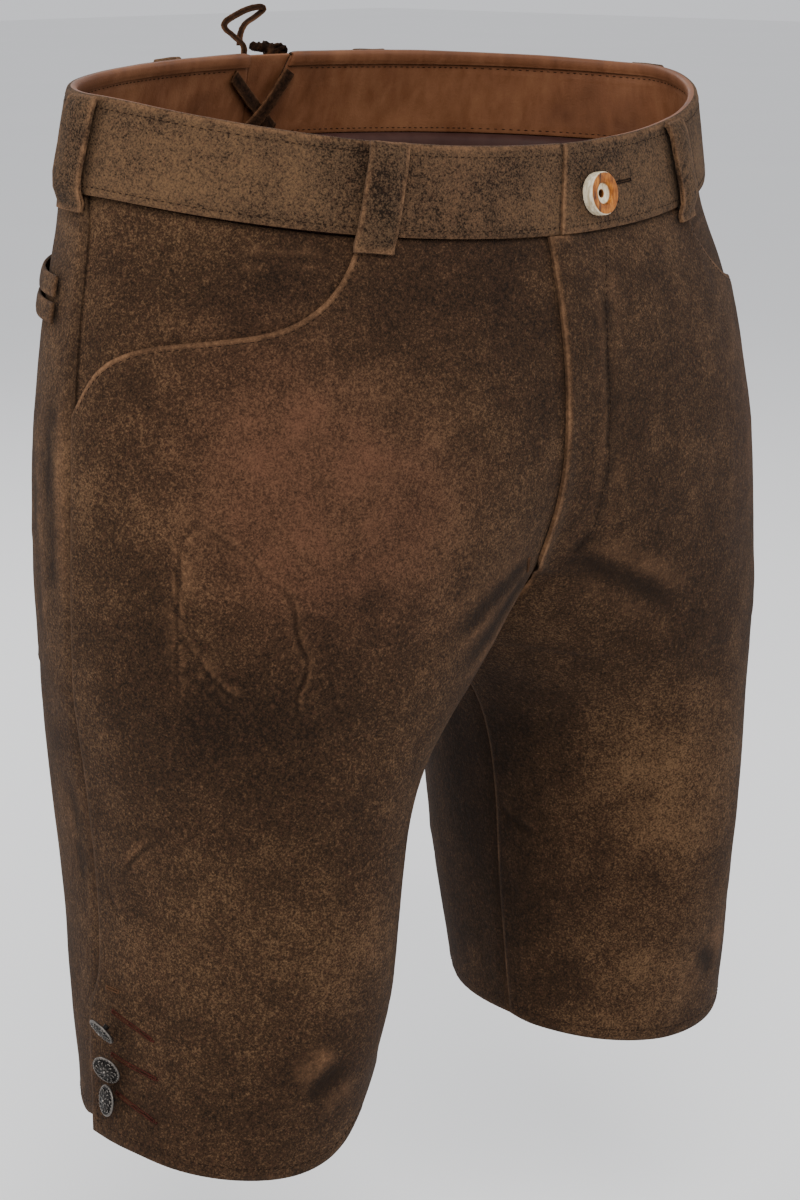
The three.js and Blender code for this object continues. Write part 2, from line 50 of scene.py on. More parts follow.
RIGHT, LEFT = -1, 1
WORDS = {RIGHT: "right", LEFT: "left"}

# ---- the garment's form, as in the part's source ----
SIDE_LENGTH = 465
RIM_DIP, RIM_RISE = -25, 9
HEM_DIP, HEM_RISE = -14, 3
COLUMNS = ("centre", "half", "front", "back", "mid", "seam")
SECTIONS = {
    0: (0, 181, 101, 85, 14, 183),
    46: (0, 185, 106, 104, 13, 182),
    93: (16, 182, 110, 110, 7, 181),
    153: (47, 159, 109, 114, 3, 181),
    209: (80, 127, 98, 110, -1, 184),
    256: (102, 102, 91, 108, -4, 188),
    302: (118, 77, 86, 107, -4, 190),
    381: (121, 67, 82, 97, -4, 192),
    465: (125, 69, 57, 86, -11, 194),
}
DROPS = sorted(SECTIONS)


def slope(index, column):
    """How fast a column changes at a row: nought where it stands still or turns back."""
    here = SECTIONS[DROPS[index]][column]
    before = SECTIONS[DROPS[max(index - 1, 0)]][column]
    after = SECTIONS[DROPS[min(index + 1, len(DROPS) - 1)]][column]
    if (here - before) * (after - here) <= 0 and 0 < index < len(DROPS) - 1:
        return 0.0
    span = DROPS[min(index + 1, len(DROPS) - 1)] - DROPS[max(index - 1, 0)]
    return (after - before) / span


def section(drop):
    """The leg's section at a drop, as a dictionary of its columns."""
    drop = min(max(drop, 0.0), SIDE_LENGTH)
    low = max(i for i, d in enumerate(DROPS[:-1]) if d <= drop)
    span = DROPS[low + 1] - DROPS[low]
    t = (drop - DROPS[low]) / span
    row = {}
    for column, name in enumerate(COLUMNS):
        a, b = SECTIONS[DROPS[low]][column], SECTIONS[DROPS[low + 1]][column]
        row[name] = (
            (2 * t**3 - 3 * t**2 + 1) * a
            + (t**3 - 2 * t**2 + t) * span * slope(low, column)
            + (3 * t**2 - 2 * t**3) * b
            + (t**3 - t**2) * span * slope(low + 1, column)
        )
    return row


def rise(drop, sine):
    """How far the rim and hem curves lift a point."""
    share = drop / SIDE_LENGTH
    rim, hem = (RIM_DIP, HEM_DIP) if sine > 0 else (RIM_RISE, HEM_RISE)
    return (1 - share) * rim * abs(sine) ** 1.5 + share**3 * hem * abs(sine)


def place(side, drop, angle):
    row = section(drop)
    cosine, sine = math.cos(math.radians(angle)), math.sin(math.radians(angle))
    depth = row["front"] if sine > 0 else row["back"]
    return Vector(
        (side * (row["centre"] - row["half"] * cosine), row["mid"] - depth * sine, rise(drop, sine) - drop)
    )


def outward(side, drop, angle):
    across = place(side, drop, angle + 0.6) - place(side, drop, angle - 0.6)
    down = place(side, drop + 1, angle) - place(side, max(drop - 1, 0), angle)
    normal = across.cross(down).normalized()
    row = section(drop)
    radial = place(side, drop, angle) - Vector((side * row["centre"], row["mid"], 0))
    radial.z = 0
    return -normal if radial.dot(normal) < 0 else normal


def on_form(side, drop, angle, out=0.0):
    """A point on the form, or standing out from it, in metres."""
    return (place(side, drop, angle) + outward(side, drop, angle) * out) * MM


def speed(drop, angle):
    """Millimetres of cloth to one degree."""
    row = section(drop)
    sine, cosine = math.sin(math.radians(angle)), math.cos(math.radians(angle))
    depth = row["front"] if sine > 0 else row["back"]
    return math.radians(math.hypot(row["half"] * sine, depth * cosine))


def where(point, side):
    """The drop and angle of a point near the form."""
    x, y, z = (value / MM for value in point)
    drop, angle = max(-z, 0.0), 90.0
    for _ in range(4):
        row = section(drop)
        depth = row["front"] if y < row["mid"] else row["back"]
        sine, cosine = (row["mid"] - y) / depth, (row["centre"] - side * x) / row["half"]
        angle = math.degrees(math.atan2(sine, cosine)) % 360
        drop = max(rise(drop, sine / max(math.hypot(sine, cosine), 1e-6)) - z, 0.0)
    return drop, angle


def back_point(arc, drop, out):
    """A point near the centre back. Arc runs to the wearer's left; a drop under nought is above the rim."""
    low = max(drop, 0)
    angle = 270 - abs(arc) / speed(low, 270)
    point = on_form(RIGHT if arc < 0 else LEFT, low, angle, out)
    point.z += max(-drop, 0) * MM
    return point


def soften(value, low, high):
    t = min(max((value - low) / (high - low), 0.0), 1.0)
    return t * t * (3 - 2 * t)


# ---- camera, floor and lights ----
CAMERA_SPOT = Vector((-1.0538, -1.0320, 0.081))
CAMERA_AHEAD = Vector((0.6943, 0.6867, -0.2163))
LENS = 94.92
FLOOR_Z = -0.62
FLOOR_REACH = 14
LAMPS = (
    # name, place, aim, size, watts, colour
    ("key", (-1.5, -1.7, 1.5), (0, 0, -0.2), 1.6, 62, (1.0, 0.98, 0.95)),
    ("fill", (1.9, -1.5, 0.7), (0, 0, -0.25), 2.0, 22, (0.96, 0.98, 1.0)),
    ("side", (-2.1, 0.7, 0.7), (0, 0, -0.25), 1.6, 26, (1.0, 0.99, 0.97)),
    ("back", (0.6, 2.0, 1.4), (0, 0, -0.1), 1.6, 24, (1.0, 1.0, 1.0)),
)
WORLD_LIGHT = 0.85


def aim(obj, spot, ahead):
    obj.matrix_world = Matrix.Translation(spot) @ Vector(ahead).to_track_quat("-Z", "Y").to_matrix().to_4x4()


def add_object(name, data):
    obj = bpy.data.objects.new(name, data)
    bpy.context.scene.collection.objects.link(obj)
    return obj


camera_data = bpy.data.cameras.new("camera")
camera_data.sensor_fit = "VERTICAL"
camera_data.sensor_height = 36
camera_data.lens = LENS
camera = add_object("camera", camera_data)
aim(camera, CAMERA_SPOT, CAMERA_AHEAD)
bpy.context.scene.camera = camera

for name, spot, target, size, watts, colour in LAMPS:
    lamp_data = bpy.data.lights.new(name, "AREA")
    lamp_data.shape = "DISK"
    lamp_data.size, lamp_data.energy, lamp_data.color = size, watts, colour
    aim(add_object(name, lamp_data), Vector(spot), Vector(target) - Vector(spot))

world = bpy.data.worlds.new("studio")
bpy.context.scene.world = world
world.use_nodes = True
world.node_tree.nodes["Background"].inputs["Color"].default_value = (0.95, 0.96, 1.0, 1)
world.node_tree.nodes["Background"].inputs["Strength"].default_value = WORLD_LIGHT


# ---- materials ----
def node(tree, kind, links=None, **settings):
    made = tree.nodes.new(kind)
    for key, value in settings.items():
        setattr(made, key, value)
    for socket, value in (links or {}).items():
        if isinstance(value, bpy.types.NodeSocket):
            tree.links.new(value, made.inputs[socket])
        else:
            made.inputs[socket].default_value = value
    return made


def sums(tree, operation, a, b=0.0, clamp=False):
    return node(tree, "ShaderNodeMath", {0: a, 1: b}, operation=operation, use_clamp=clamp).outputs[0]


def blend(tree, factor, a, b, kind="MIX"):
    mix = node(tree, "ShaderNodeMix", {0: factor, 6: a, 7: b}, data_type="RGBA", blend_type=kind)
    return mix.outputs[2]


def clouds(tree, vector, scale, detail=2.0, rough=0.5):
    links = {"Vector": vector, "Scale": scale, "Detail": detail, "Roughness": rough}
    return node(tree, "ShaderNodeTexNoise", links).outputs[0]


def spread(tree, value, low, high, to_low=0.0, to_high=1.0):
    links = {0: value, 1: low, 2: high, 3: to_low, 4: to_high}
    return node(tree, "ShaderNodeMapRange", links, clamp=True).outputs[0]


def new_group(name, inputs, outputs):
    tree = bpy.data.node_groups.new(name, "ShaderNodeTree")
    for label, kind, value in inputs:
        socket = tree.interface.new_socket(label, in_out="INPUT", socket_type="NodeSocket" + kind)
        socket.default_value = value
    for label, kind in outputs:
        tree.interface.new_socket(label, in_out="OUTPUT", socket_type="NodeSocket" + kind)
    return tree, node(tree, "NodeGroupInput"), node(tree, "NodeGroupOutput")


def build_suede_group():
    """Suede: broad cloudy shades, a mottle, a fine grain of tufts, edges rubbed light, and painted shade
    where the Shade mark is set.
    """
    tree, given, out = new_group(
        "suede",
        [
            ("Vector", "Vector", (0, 0, 0)),
            ("Dark", "Color", (0, 0, 0, 1)),
            ("Body", "Color", (0, 0, 0, 1)),
            ("Light", "Color", (0, 0, 0, 1)),
            ("Ruddy", "Color", (0, 0, 0, 1)),
            ("Rubbed", "Color", (0, 0, 0, 1)),
            ("Tone", "Float", 0.0),
            ("Red", "Float", 0.0),
            ("Wear", "Float", 0.0),
            ("Shade", "Float", 0.0),
            ("Contrast", "Float", 1.0),
        ],
        [("Color", "Color"), ("Roughness", "Float"), ("Height", "Float")],
    )
    hide = given.outputs["Vector"]
    broad = clouds(tree, hide, 17, 3, 0.55)
    mottle = clouds(tree, hide, 62, 4, 0.62)
    fleck = clouds(tree, hide, 480, 3, 0.7)
    tuft = clouds(tree, hide, 1150, 2, 0.65)
    value = sums(tree, "MULTIPLY", sums(tree, "SUBTRACT", broad, 0.5), 0.75)
    for layer, weight in ((mottle, 0.95), (fleck, 1.45), (tuft, 2.3)):
        value = sums(tree, "ADD", value, sums(tree, "MULTIPLY", sums(tree, "SUBTRACT", layer, 0.5), weight))
    value = sums(tree, "MULTIPLY", value, given.outputs["Contrast"])
    value = sums(tree, "ADD", value, given.outputs["Tone"])
    lighter = blend(tree, spread(tree, value, 0.0, 0.75), given.outputs["Body"], given.outputs["Light"])
    colour = blend(tree, spread(tree, value, 0.0, -0.65), lighter, given.outputs["Dark"])
    tint = spread(tree, clouds(tree, hide, 540, 2, 0.6), 0.54, 0.74, 0.0, 0.2)
    colour = blend(tree, tint, colour, given.outputs["Ruddy"])
    glow = blend(tree, spread(tree, value, -0.7, 0.85), given.outputs["Dark"], given.outputs["Ruddy"])
    ruddy = sums(
        tree, "MULTIPLY", given.outputs["Red"], spread(tree, mottle, 0.3, 0.7, 0.55, 1.0), clamp=True
    )
    colour = blend(tree, ruddy, colour, glow)
    broken = sums(tree, "MULTIPLY", given.outputs["Wear"], spread(tree, mottle, 0.25, 0.6, 0.35, 1.0))
    broken = sums(tree, "MULTIPLY", broken, spread(tree, fleck, 0.25, 0.62, 0.35, 1.0), clamp=True)
    colour = blend(tree, broken, colour, given.outputs["Rubbed"])
    # Painted shade: the Shade mark darkens crease troughs, hem slits and cut edges toward Dark; it also
    # darkens stitch lines.
    shade = sums(tree, "MULTIPLY", given.outputs["Shade"], 0.85, clamp=True)
    colour = blend(tree, shade, colour, given.outputs["Dark"])
    tree.links.new(colour, out.inputs["Color"])
    rough = spread(tree, tuft, 0.3, 0.7, 0.82, 1.0)
    tree.links.new(
        sums(tree, "SUBTRACT", rough, sums(tree, "MULTIPLY", broken, 0.12)), out.inputs["Roughness"]
    )
    height = sums(tree, "ADD", sums(tree, "MULTIPLY", fleck, 0.55), sums(tree, "MULTIPLY", tuft, 0.45))
    height = sums(tree, "ADD", height, sums(tree, "MULTIPLY", mottle, 0.5))
    tree.links.new(height, out.inputs["Height"])
    return tree


def build_smooth_group():
    """Smooth leather: cloudy tan and chestnut, drawn out down the hide, with a fine pebble."""
    tree, given, out = new_group(
        "smooth_leather",
        [
            ("Vector", "Vector", (0, 0, 0)),
            ("Dark", "Color", (0, 0, 0, 1)),
            ("Body", "Color", (0, 0, 0, 1)),
            ("Light", "Color", (0, 0, 0, 1)),
            ("Tone", "Float", 0.0),
            ("Wear", "Float", 0.0),
        ],
        [("Color", "Color"), ("Roughness", "Float"), ("Height", "Float")],
    )
    hide = given.outputs["Vector"]
    broad = clouds(tree, hide, 26, 3, 0.6)
    drawn = node(tree, "ShaderNodeMapping", {"Vector": hide, "Scale": (1, 1, 0.25)}).outputs[0]
    streak = clouds(tree, drawn, 170, 4, 0.6)
    pebble = node(tree, "ShaderNodeTexVoronoi", {"Vector": hide, "Scale": 900}).outputs["Distance"]
    value = sums(tree, "ADD", sums(tree, "MULTIPLY", broad, 0.9), sums(tree, "MULTIPLY", streak, 0.55))
    value = sums(tree, "ADD", sums(tree, "SUBTRACT", value, 0.72), given.outputs["Tone"])
    lighter = blend(tree, spread(tree, value, 0.0, 0.4), given.outputs["Body"], given.outputs["Light"])
    colour = blend(tree, spread(tree, value, 0.0, -0.4), lighter, given.outputs["Dark"])
    colour = blend(
        tree, sums(tree, "MULTIPLY", given.outputs["Wear"], 0.6, clamp=True), colour, given.outputs["Light"]
    )
    tree.links.new(colour, out.inputs["Color"])
    tree.links.new(spread(tree, streak, 0.3, 0.7, 0.5, 0.68), out.inputs["Roughness"])
    height = sums(tree, "ADD", sums(tree, "MULTIPLY", pebble, 0.5), sums(tree, "MULTIPLY", streak, 0.7))
    tree.links.new(height, out.inputs["Height"])
    return tree


SUEDE_GROUP = build_suede_group()
SMOOTH_GROUP = build_smooth_group()


def attribute(tree, name):
    return node(tree, "ShaderNodeAttribute", attribute_name=name).outputs["Fac"]


def material(name, group, colours, attributes, relief, sheen=0.0, **constants):
    """A material that puts one group's colour, roughness and height on a shader of its own."""
    made = bpy.data.materials.new(name)
    made.use_nodes = True
    tree = made.node_tree
    shader = tree.nodes["Principled BSDF"]
    coordinates = node(tree, "ShaderNodeTexCoord").outputs["Object"]
    filled = node(tree, "ShaderNodeGroup", node_tree=group)
    tree.links.new(coordinates, filled.inputs["Vector"])
    for label, colour in colours.items():
        filled.inputs[label].default_value = colour if isinstance(colour, float) else (*colour, 1)
    for label, mark in attributes.items():
        tree.links.new(attribute(tree, mark), filled.inputs[label])
    tree.links.new(filled.outputs["Color"], shader.inputs["Base Color"])
    tree.links.new(filled.outputs["Roughness"], shader.inputs["Roughness"])
    strength, distance = relief
    bump = node(
        tree, "ShaderNodeBump",
        {"Strength": strength, "Distance": distance, "Height": filled.outputs["Height"]}
    )
    tree.links.new(bump.outputs["Normal"], shader.inputs["Normal"])
    shader.inputs["Sheen Weight"].default_value = sheen
    for label, value in constants.items():
        shader.inputs[label].default_value = value
    return made


ALL_MARKS = {"Tone": "tone", "Red": "red", "Wear": "wear", "Shade": "shade"}
SUEDE_COLOURS = {
    "Dark": (0.0098, 0.0056, 0.0034),
    "Body": (0.0305, 0.0158, 0.0082),
    "Light": (0.107, 0.060, 0.030),
    "Ruddy": (0.098, 0.042, 0.024),
    "Rubbed": (0.210, 0.108, 0.054),
}
DULL = {"Specular IOR Level": 0.05, "Sheen Roughness": 0.6}
SUEDE = material("suede", SUEDE_GROUP, SUEDE_COLOURS, ALL_MARKS, (0.9, 0.0011), 0.015, **DULL)
BAND_SUEDE = material(
    "band_suede", SUEDE_GROUP, {
        **SUEDE_COLOURS, "Body": (0.059, 0.0345, 0.0190), "Contrast": 1.35
    }, ALL_MARKS, (0.9, 0.0011), 0.015, **DULL
)
FACING_SUEDE = material("facing_suede", SUEDE_GROUP, SUEDE_COLOURS, ALL_MARKS, (0.9, 0.0011), 0.015, **DULL)
CHESTNUT = material(
    "chestnut_leather",
    SMOOTH_GROUP,
    {"Dark": (0.062, 0.021, 0.008), "Body": (0.138, 0.051, 0.0205), "Light": (0.235, 0.100, 0.044)},
    {"Tone": "tone", "Wear": "wear"},
    (0.35, 0.0004),
    **{"Specular IOR Level": 0.25},
)
LINING = material(
    "dark_lining",
    SMOOTH_GROUP,
    {"Dark": (0.016, 0.0075, 0.0065), "Body": (0.038, 0.0165, 0.0135), "Light": (0.062, 0.030, 0.024)},
    {"Tone": "tone", "Wear": "wear"},
    (0.2, 0.0002),
    **{"Specular IOR Level": 0.12},
)
THONG = material(
    "thong_leather",
    SUEDE_GROUP,
    {
        **SUEDE_COLOURS, "Body": (0.0095, 0.0045, 0.0026), "Light": (0.032, 0.0145, 0.0075),
        "Rubbed": (0.15, 0.068, 0.032)
    },
    ALL_MARKS,
    (0.9, 0.0008),
    **DULL,
)


def simple_material(name, build, **constants):
    """A material whose colour, roughness and relief come from build(tree, shader, coordinates)."""
    made = bpy.data.materials.new(name)
    made.use_nodes = True
    tree = made.node_tree
    shader = tree.nodes["Principled BSDF"]
    build(tree, shader, node(tree, "ShaderNodeTexCoord").outputs["Object"])
    for label, value in constants.items():
        shader.inputs[label].default_value = value
    return made


def thread_look(low, high):
    def build(tree, shader, coordinates):
        strands = clouds(tree, coordinates, 2600, 3, 0.6)
        tone = clouds(tree, coordinates, 130, 2)
        value = sums(tree, "ADD", sums(tree, "MULTIPLY", strands, 0.6), sums(tree, "MULTIPLY", tone, 0.4))
        colour = blend(tree, spread(tree, value, 0.35, 0.65), (*low, 1), (*high, 1))
        tree.links.new(colour, shader.inputs["Base Color"])
        tree.links.new(spread(tree, strands, 0.3, 0.7, 0.6, 0.85), shader.inputs["Roughness"])
        bump = node(tree, "ShaderNodeBump", {"Strength": 0.4, "Distance": 0.0002, "Height": strands})
        tree.links.new(bump.outputs["Normal"], shader.inputs["Normal"])

    return build


def horn_look(tree, shader, coordinates):
    """Antler horn: caramel streaks, with a creamy bark wherever the piece is marked for it."""
    streak = clouds(
        tree, node(tree, "ShaderNodeMapping", {"Vector": coordinates, "Scale": (1, 1, 0.18)}).outputs[0],
        620, 4, 0.7
    )
    cloud = clouds(tree, coordinates, 240, 3)
    value = sums(tree, "ADD", sums(tree, "MULTIPLY", streak, 0.7), sums(tree, "MULTIPLY", cloud, 0.3))
    caramel = blend(tree, spread(tree, value, 0.34, 0.5), (0.045, 0.011, 0.002, 1), (0.24, 0.072, 0.008, 1))
    caramel = blend(tree, spread(tree, value, 0.5, 0.68), caramel, (0.46, 0.175, 0.022, 1))
    cream = blend(tree, spread(tree, streak, 0.35, 0.65), (0.42, 0.33, 0.20, 1), (0.74, 0.66, 0.49, 1))
    colour = blend(tree, attribute(tree, "bark"), caramel, cream)
    # The shade mark paints shade down the middle hole and draws a dark split line across the rim.
    colour = blend(tree, attribute(tree, "shade"), colour, (0.012, 0.005, 0.003, 1))
    tree.links.new(colour, shader.inputs["Base Color"])
    tree.links.new(spread(tree, value, 0.3, 0.7, 0.62, 0.5), shader.inputs["Roughness"])
    bump = node(tree, "ShaderNodeBump", {"Strength": 0.25, "Distance": 0.0003, "Height": streak})
    tree.links.new(bump.outputs["Normal"], shader.inputs["Normal"])


def pewter_look(tree, shader, coordinates):
    """Old pewter: worn bright on the relief and nearly black in the hollows."""
    cloud = clouds(tree, coordinates, 700, 4, 0.65)
    worn = sums(
        tree, "ADD", attribute(tree, "wear"), sums(tree, "MULTIPLY", sums(tree, "SUBTRACT", cloud, 0.5), 0.7)
    )
    colour = blend(tree, spread(tree, worn, 0.25, 0.95), (0.011, 0.0095, 0.0085, 1), (0.21, 0.188, 0.168, 1))
    tree.links.new(colour, shader.inputs["Base Color"])
    tree.links.new(spread(tree, worn, 0.0, 1.0, 0.62, 0.3), shader.inputs["Roughness"])
    bump = node(tree, "ShaderNodeBump", {"Strength": 0.3, "Distance": 0.0002, "Height": cloud})
    tree.links.new(bump.outputs["Normal"], shader.inputs["Normal"])


def floor_look(tree, shader, coordinates):
    soft = clouds(tree, coordinates, 2.0, 2)
    colour = blend(tree, soft, (0.86, 0.86, 0.86, 1), (0.89, 0.89, 0.885, 1))
    tree.links.new(colour, shader.inputs["Base Color"])
    tree.links.new(spread(tree, soft, 0.3, 0.7, 0.85, 0.95), shader.inputs["Roughness"])


MATT = {"Specular IOR Level": 0.08}
THREAD = simple_material("brown_thread", thread_look((0.006, 0.003, 0.002), (0.020, 0.010, 0.006)), **MATT)
LIGHT_THREAD = simple_material(
    "tan_thread", thread_look((0.032, 0.015, 0.007), (0.105, 0.050, 0.025)), **MATT
)
BURGUNDY = simple_material(
    "burgundy_thread", thread_look((0.018, 0.0040, 0.0032), (0.075, 0.020, 0.013)), **MATT
)
HORN = simple_material("antler_horn", horn_look, **{"Specular IOR Level": 0.14, "Coat Weight": 0.05})
PEWTER = simple_material("old_pewter", pewter_look, Metallic=0.9)
FLOOR = simple_material("pale_floor", floor_look)

floor_mesh = bmesh.new()
bmesh.ops.create_grid(
    floor_mesh, x_segments=1, y_segments=1, size=FLOOR_REACH, matrix=Matrix.Translation((0, 0, FLOOR_Z))
)
floor_data = bpy.data.meshes.new("floor")
floor_mesh.to_mesh(floor_data)
floor_mesh.free()
floor_data.materials.append(FLOOR)
floor = add_object("floor", floor_data)


# ---- making pieces ----
def publish(name, bm, look, stands_for=(), wall=0.0, marks=None):
    """A finished bmesh as a piece on the garment, with a wall behind its skin if it has one."""
    data = bpy.data.meshes.new(name)
    for face in bm.faces:
        face.smooth = True
    bm.to_mesh(data)
    bm.free()
    for label, values in (marks or {}).items():
        layer = data.attributes.new(label, "FLOAT", "POINT")
        layer.data.foreach_set("value", np.asarray(values, np.float32))
    data.materials.append(look)
    piece = add_object(name, data)
    if wall:
        solid = piece.modifiers.new("wall", "SOLIDIFY")
        solid.thickness, solid.offset = wall * MM, -1
        solid.use_even_offset = False
        edge = piece.modifiers.new("cut edge", "BEVEL")
        edge.width, edge.segments, edge.limit_method, edge.angle_limit = 0.0004, 2, "ANGLE", math.radians(62)
    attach(piece, "root")
    if stands_for:
        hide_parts(*stands_for)
    return piece


def merged_copy(name):
    bm = bmesh.new()
    bm.from_mesh(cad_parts[name].data)
    bmesh.ops.remove_doubles(bm, verts=bm.verts, dist=2e-5)
    bm.normal_update()
    return bm


def walls_of(bm, limit):
    """The faces in sets that no sharp edge divides."""
    left, walls = set(bm.faces), []
    while left:
        wall, queue = set(), [left.pop()]
        while queue:
            face = queue.pop()
            wall.add(face)
            for edge in face.edges:
                if len(edge.link_faces) == 2 and edge.calc_face_angle(0) < limit:
                    for other in edge.link_faces:
                        if other in left:
                            left.discard(other)
                            queue.append(other)
        walls.append(wall)
    return walls


def skin_of(name, side, facing=1, levels=2, sharp=50):
    """The wall of a cloth solid that faces out, or in, as a fine smooth sheet of quads."""
    bm = merged_copy(name)

    def looks(wall):
        total = 0.0
        for face in wall:
            middle = face.calc_center_median()
            row = section(-middle.z / MM)
            away = middle - Vector((side * row["centre"] * MM, row["mid"] * MM, middle.z))
            total += face.calc_area() * face.normal.dot(away.normalized())
        return facing * total

    kept = max(walls_of(bm, math.radians(sharp)), key=looks)
    bmesh.ops.delete(bm, geom=[f for f in bm.faces if f not in kept], context="FACES")
    bmesh.ops.join_triangles(
        bm, faces=bm.faces, cmp_seam=False, cmp_sharp=False, cmp_uvs=False, cmp_vcols=False,
        cmp_materials=False, angle_face_threshold=math.radians(50), angle_shape_threshold=math.radians(70),
    )
    return rounded(bm, levels)


def rounded(bm, levels):
    """A bmesh after so many rounds of smooth subdivision."""
    rough = bpy.data.meshes.new("rough")
    bm.to_mesh(rough)
    bm.free()
    holder = add_object("rough", rough)
    finer = holder.modifiers.new("finer", "SUBSURF")
    finer.levels = finer.render_levels = levels
    finer.boundary_smooth = "PRESERVE_CORNERS"
    seen = holder.evaluated_get(bpy.context.evaluated_depsgraph_get())
    fine = bpy.data.meshes.new_from_object(seen)
    bpy.data.objects.remove(holder)
    bpy.data.meshes.remove(rough)
    made = bmesh.new()
    made.from_mesh(fine)
    bpy.data.meshes.remove(fine)
    made.normal_update()
    return made


def tree_of(bm):
    return BVHTree.FromBMesh(bm)


def kd_of(points):
    kd = KDTree(len(points))
    for i, point in enumerate(points):
        kd.insert(point, i)
    kd.balance()
    return kd


def refine(bm, lines, reach, rounds=1):
    """Cuts the faces finer within reach of the lines."""
    points = [p for line in lines for p in line]
    if not points:
        return
    kd = kd_of(points)
    for k in range(rounds):
        near = {v for v in bm.verts if kd.find(v.co)[2] < reach * MM / (1 + 0.6 * k)}
        edges = [e for e in bm.edges if e.verts[0] in near and e.verts[1] in near]
        bmesh.ops.subdivide_edges(bm, edges=edges, cuts=1, use_grid_fill=True)
    bm.normal_update()


# ---- lines on the cloth ----
def flow(points, gap):
    """An even run of points along a smooth curve through the given ones."""
    points = [Vector(p) for p in points]
    dense = []
    for i in range(len(points) - 1):
        a, b = points[i], points[i + 1]
        before = points[i - 1] if i else a + (a - b)
        after = points[i + 2] if i + 2 < len(points) else b + (b - a)
        count = max(2, int((b - a).length / gap) + 1)
        for k in range(count):
            t = k / count
            dense.append(
                0.5 * (2 * a + (b - before) * t + (2 * before - 5 * a + 4 * b - after) * t**2
                       + (3 * a - before - 3 * b + after) * t**3)
            )
    dense.append(points[-1])
    return dense


def traced(side, spots, gap=1.0):
    """A curve on the form through places given as drop and angle."""
    return flow([on_form(side, drop, angle) for drop, angle in spots], gap * MM)


def level_line(side, drop, start, end, out=0.0, gap=1.0):
    """A line at one drop, from angle to angle."""
    count = max(2, int(abs(end - start) * speed(drop, 180 if abs(end - start) > 60 else start) / gap))
    return [on_form(side, drop, start + (end - start) * k / count, out) for k in range(count + 1)]


def border(bm, chosen, inset):
    """The chosen stretch of the cloth's edge, moved in over the cloth, as one ordered line."""
    edges = {e for e in bm.edges if len(e.link_faces) == 1 and all(chosen(v.co) for v in e.verts)}
    runs = []
    while edges:
        edge = edges.pop()
        run = list(edge.verts)
        for end in (0, -1):
            while True:
                more = [e for e in run[end].link_edges if e in edges]
                if not more:
                    break
                edges.discard(more[0])
                other = more[0].other_vert(run[end])
                if end == 0:
                    run.insert(0, other)
                else:
                    run.append(other)
        runs.append(run)
    if not runs:
        return []
    run = max(runs, key=len)
    line = []
    for i, vert in enumerate(run):
        along = (run[min(i + 1, len(run) - 1)].co - run[max(i - 1, 0)].co).normalized()
        inward = vert.normal.cross(along).normalized()
        middle = sum((f.calc_center_median() for f in vert.link_faces), Vector()) / len(vert.link_faces)
        if inward.dot(middle - vert.co) < 0:
            inward = -inward
        line.append(vert.co + inward * inset * MM)
    return flow(line[:: max(1, len(line) // 60)] + [line[-1]], 1.0 * MM)


def sway(point, scale, seed):
    return noise.noise(point * scale + Vector((seed * 7.31, seed * 3.17, seed * 1.73)))


def crease_field(lines):
    """Distance, depth and side of the nearest crease for any point. A line is points, width, depth, ridge."""
    points, facts = [], []
    for n, (line, width, depth, ridge) in enumerate(lines):
        for i, point in enumerate(line):
            along = (line[min(i + 1, len(line) - 1)] - line[max(i - 1, 0)]).normalized()
            end = min(i, len(line) - 1 - i) / max(len(line) * 0.22, 1)
            taper = min(1.0, end) ** 0.7
            uneven = 0.72 + 0.5 * sway(point, 90, n + 1)
            points.append(point)
            facts.append(
                (along, width * (0.85 + 0.3 * uneven), depth * taper * uneven, ridge * taper * uneven)
            )
    return (kd_of(points), facts) if points else None


def crease_lift(field, point, normal):
    """How far the nearest creases move a point out, in millimetres, and how much painted shade lies in the
    trough.
    """
    if not field:
        return 0.0, 0.0
    kd, facts = field
    near, index, distance = kd.find(point)
    along, width, depth, ridge = facts[index]
    across = normal.cross(along)
    s = (point - near).dot(across) / MM
    d = distance / MM
    if d > width * 5:
        return 0.0, 0.0
    trough = math.exp(-((d / width) ** 2))
    soft = 0.8 if width < 1.5 else 1.3
    swell = math.exp(
        -(((s - 1.9 * width) / (soft * width)) ** 2)
    ) + 0.5 * math.exp(-(((s + 2.0 * width) / (soft * width)) ** 2))
    end = math.exp(-max(0.0, d - abs(s)) / width)
    return -depth * trough + ridge * swell * end, trough * min(1.0, depth / 0.5)


def broad_lift(point):
    """The cloth's own slow unevenness, in millimetres."""
    return 0.9 * sway(point, 16, 1) + 0.42 * sway(point, 45, 2) + 0.12 * sway(point, 140, 3)
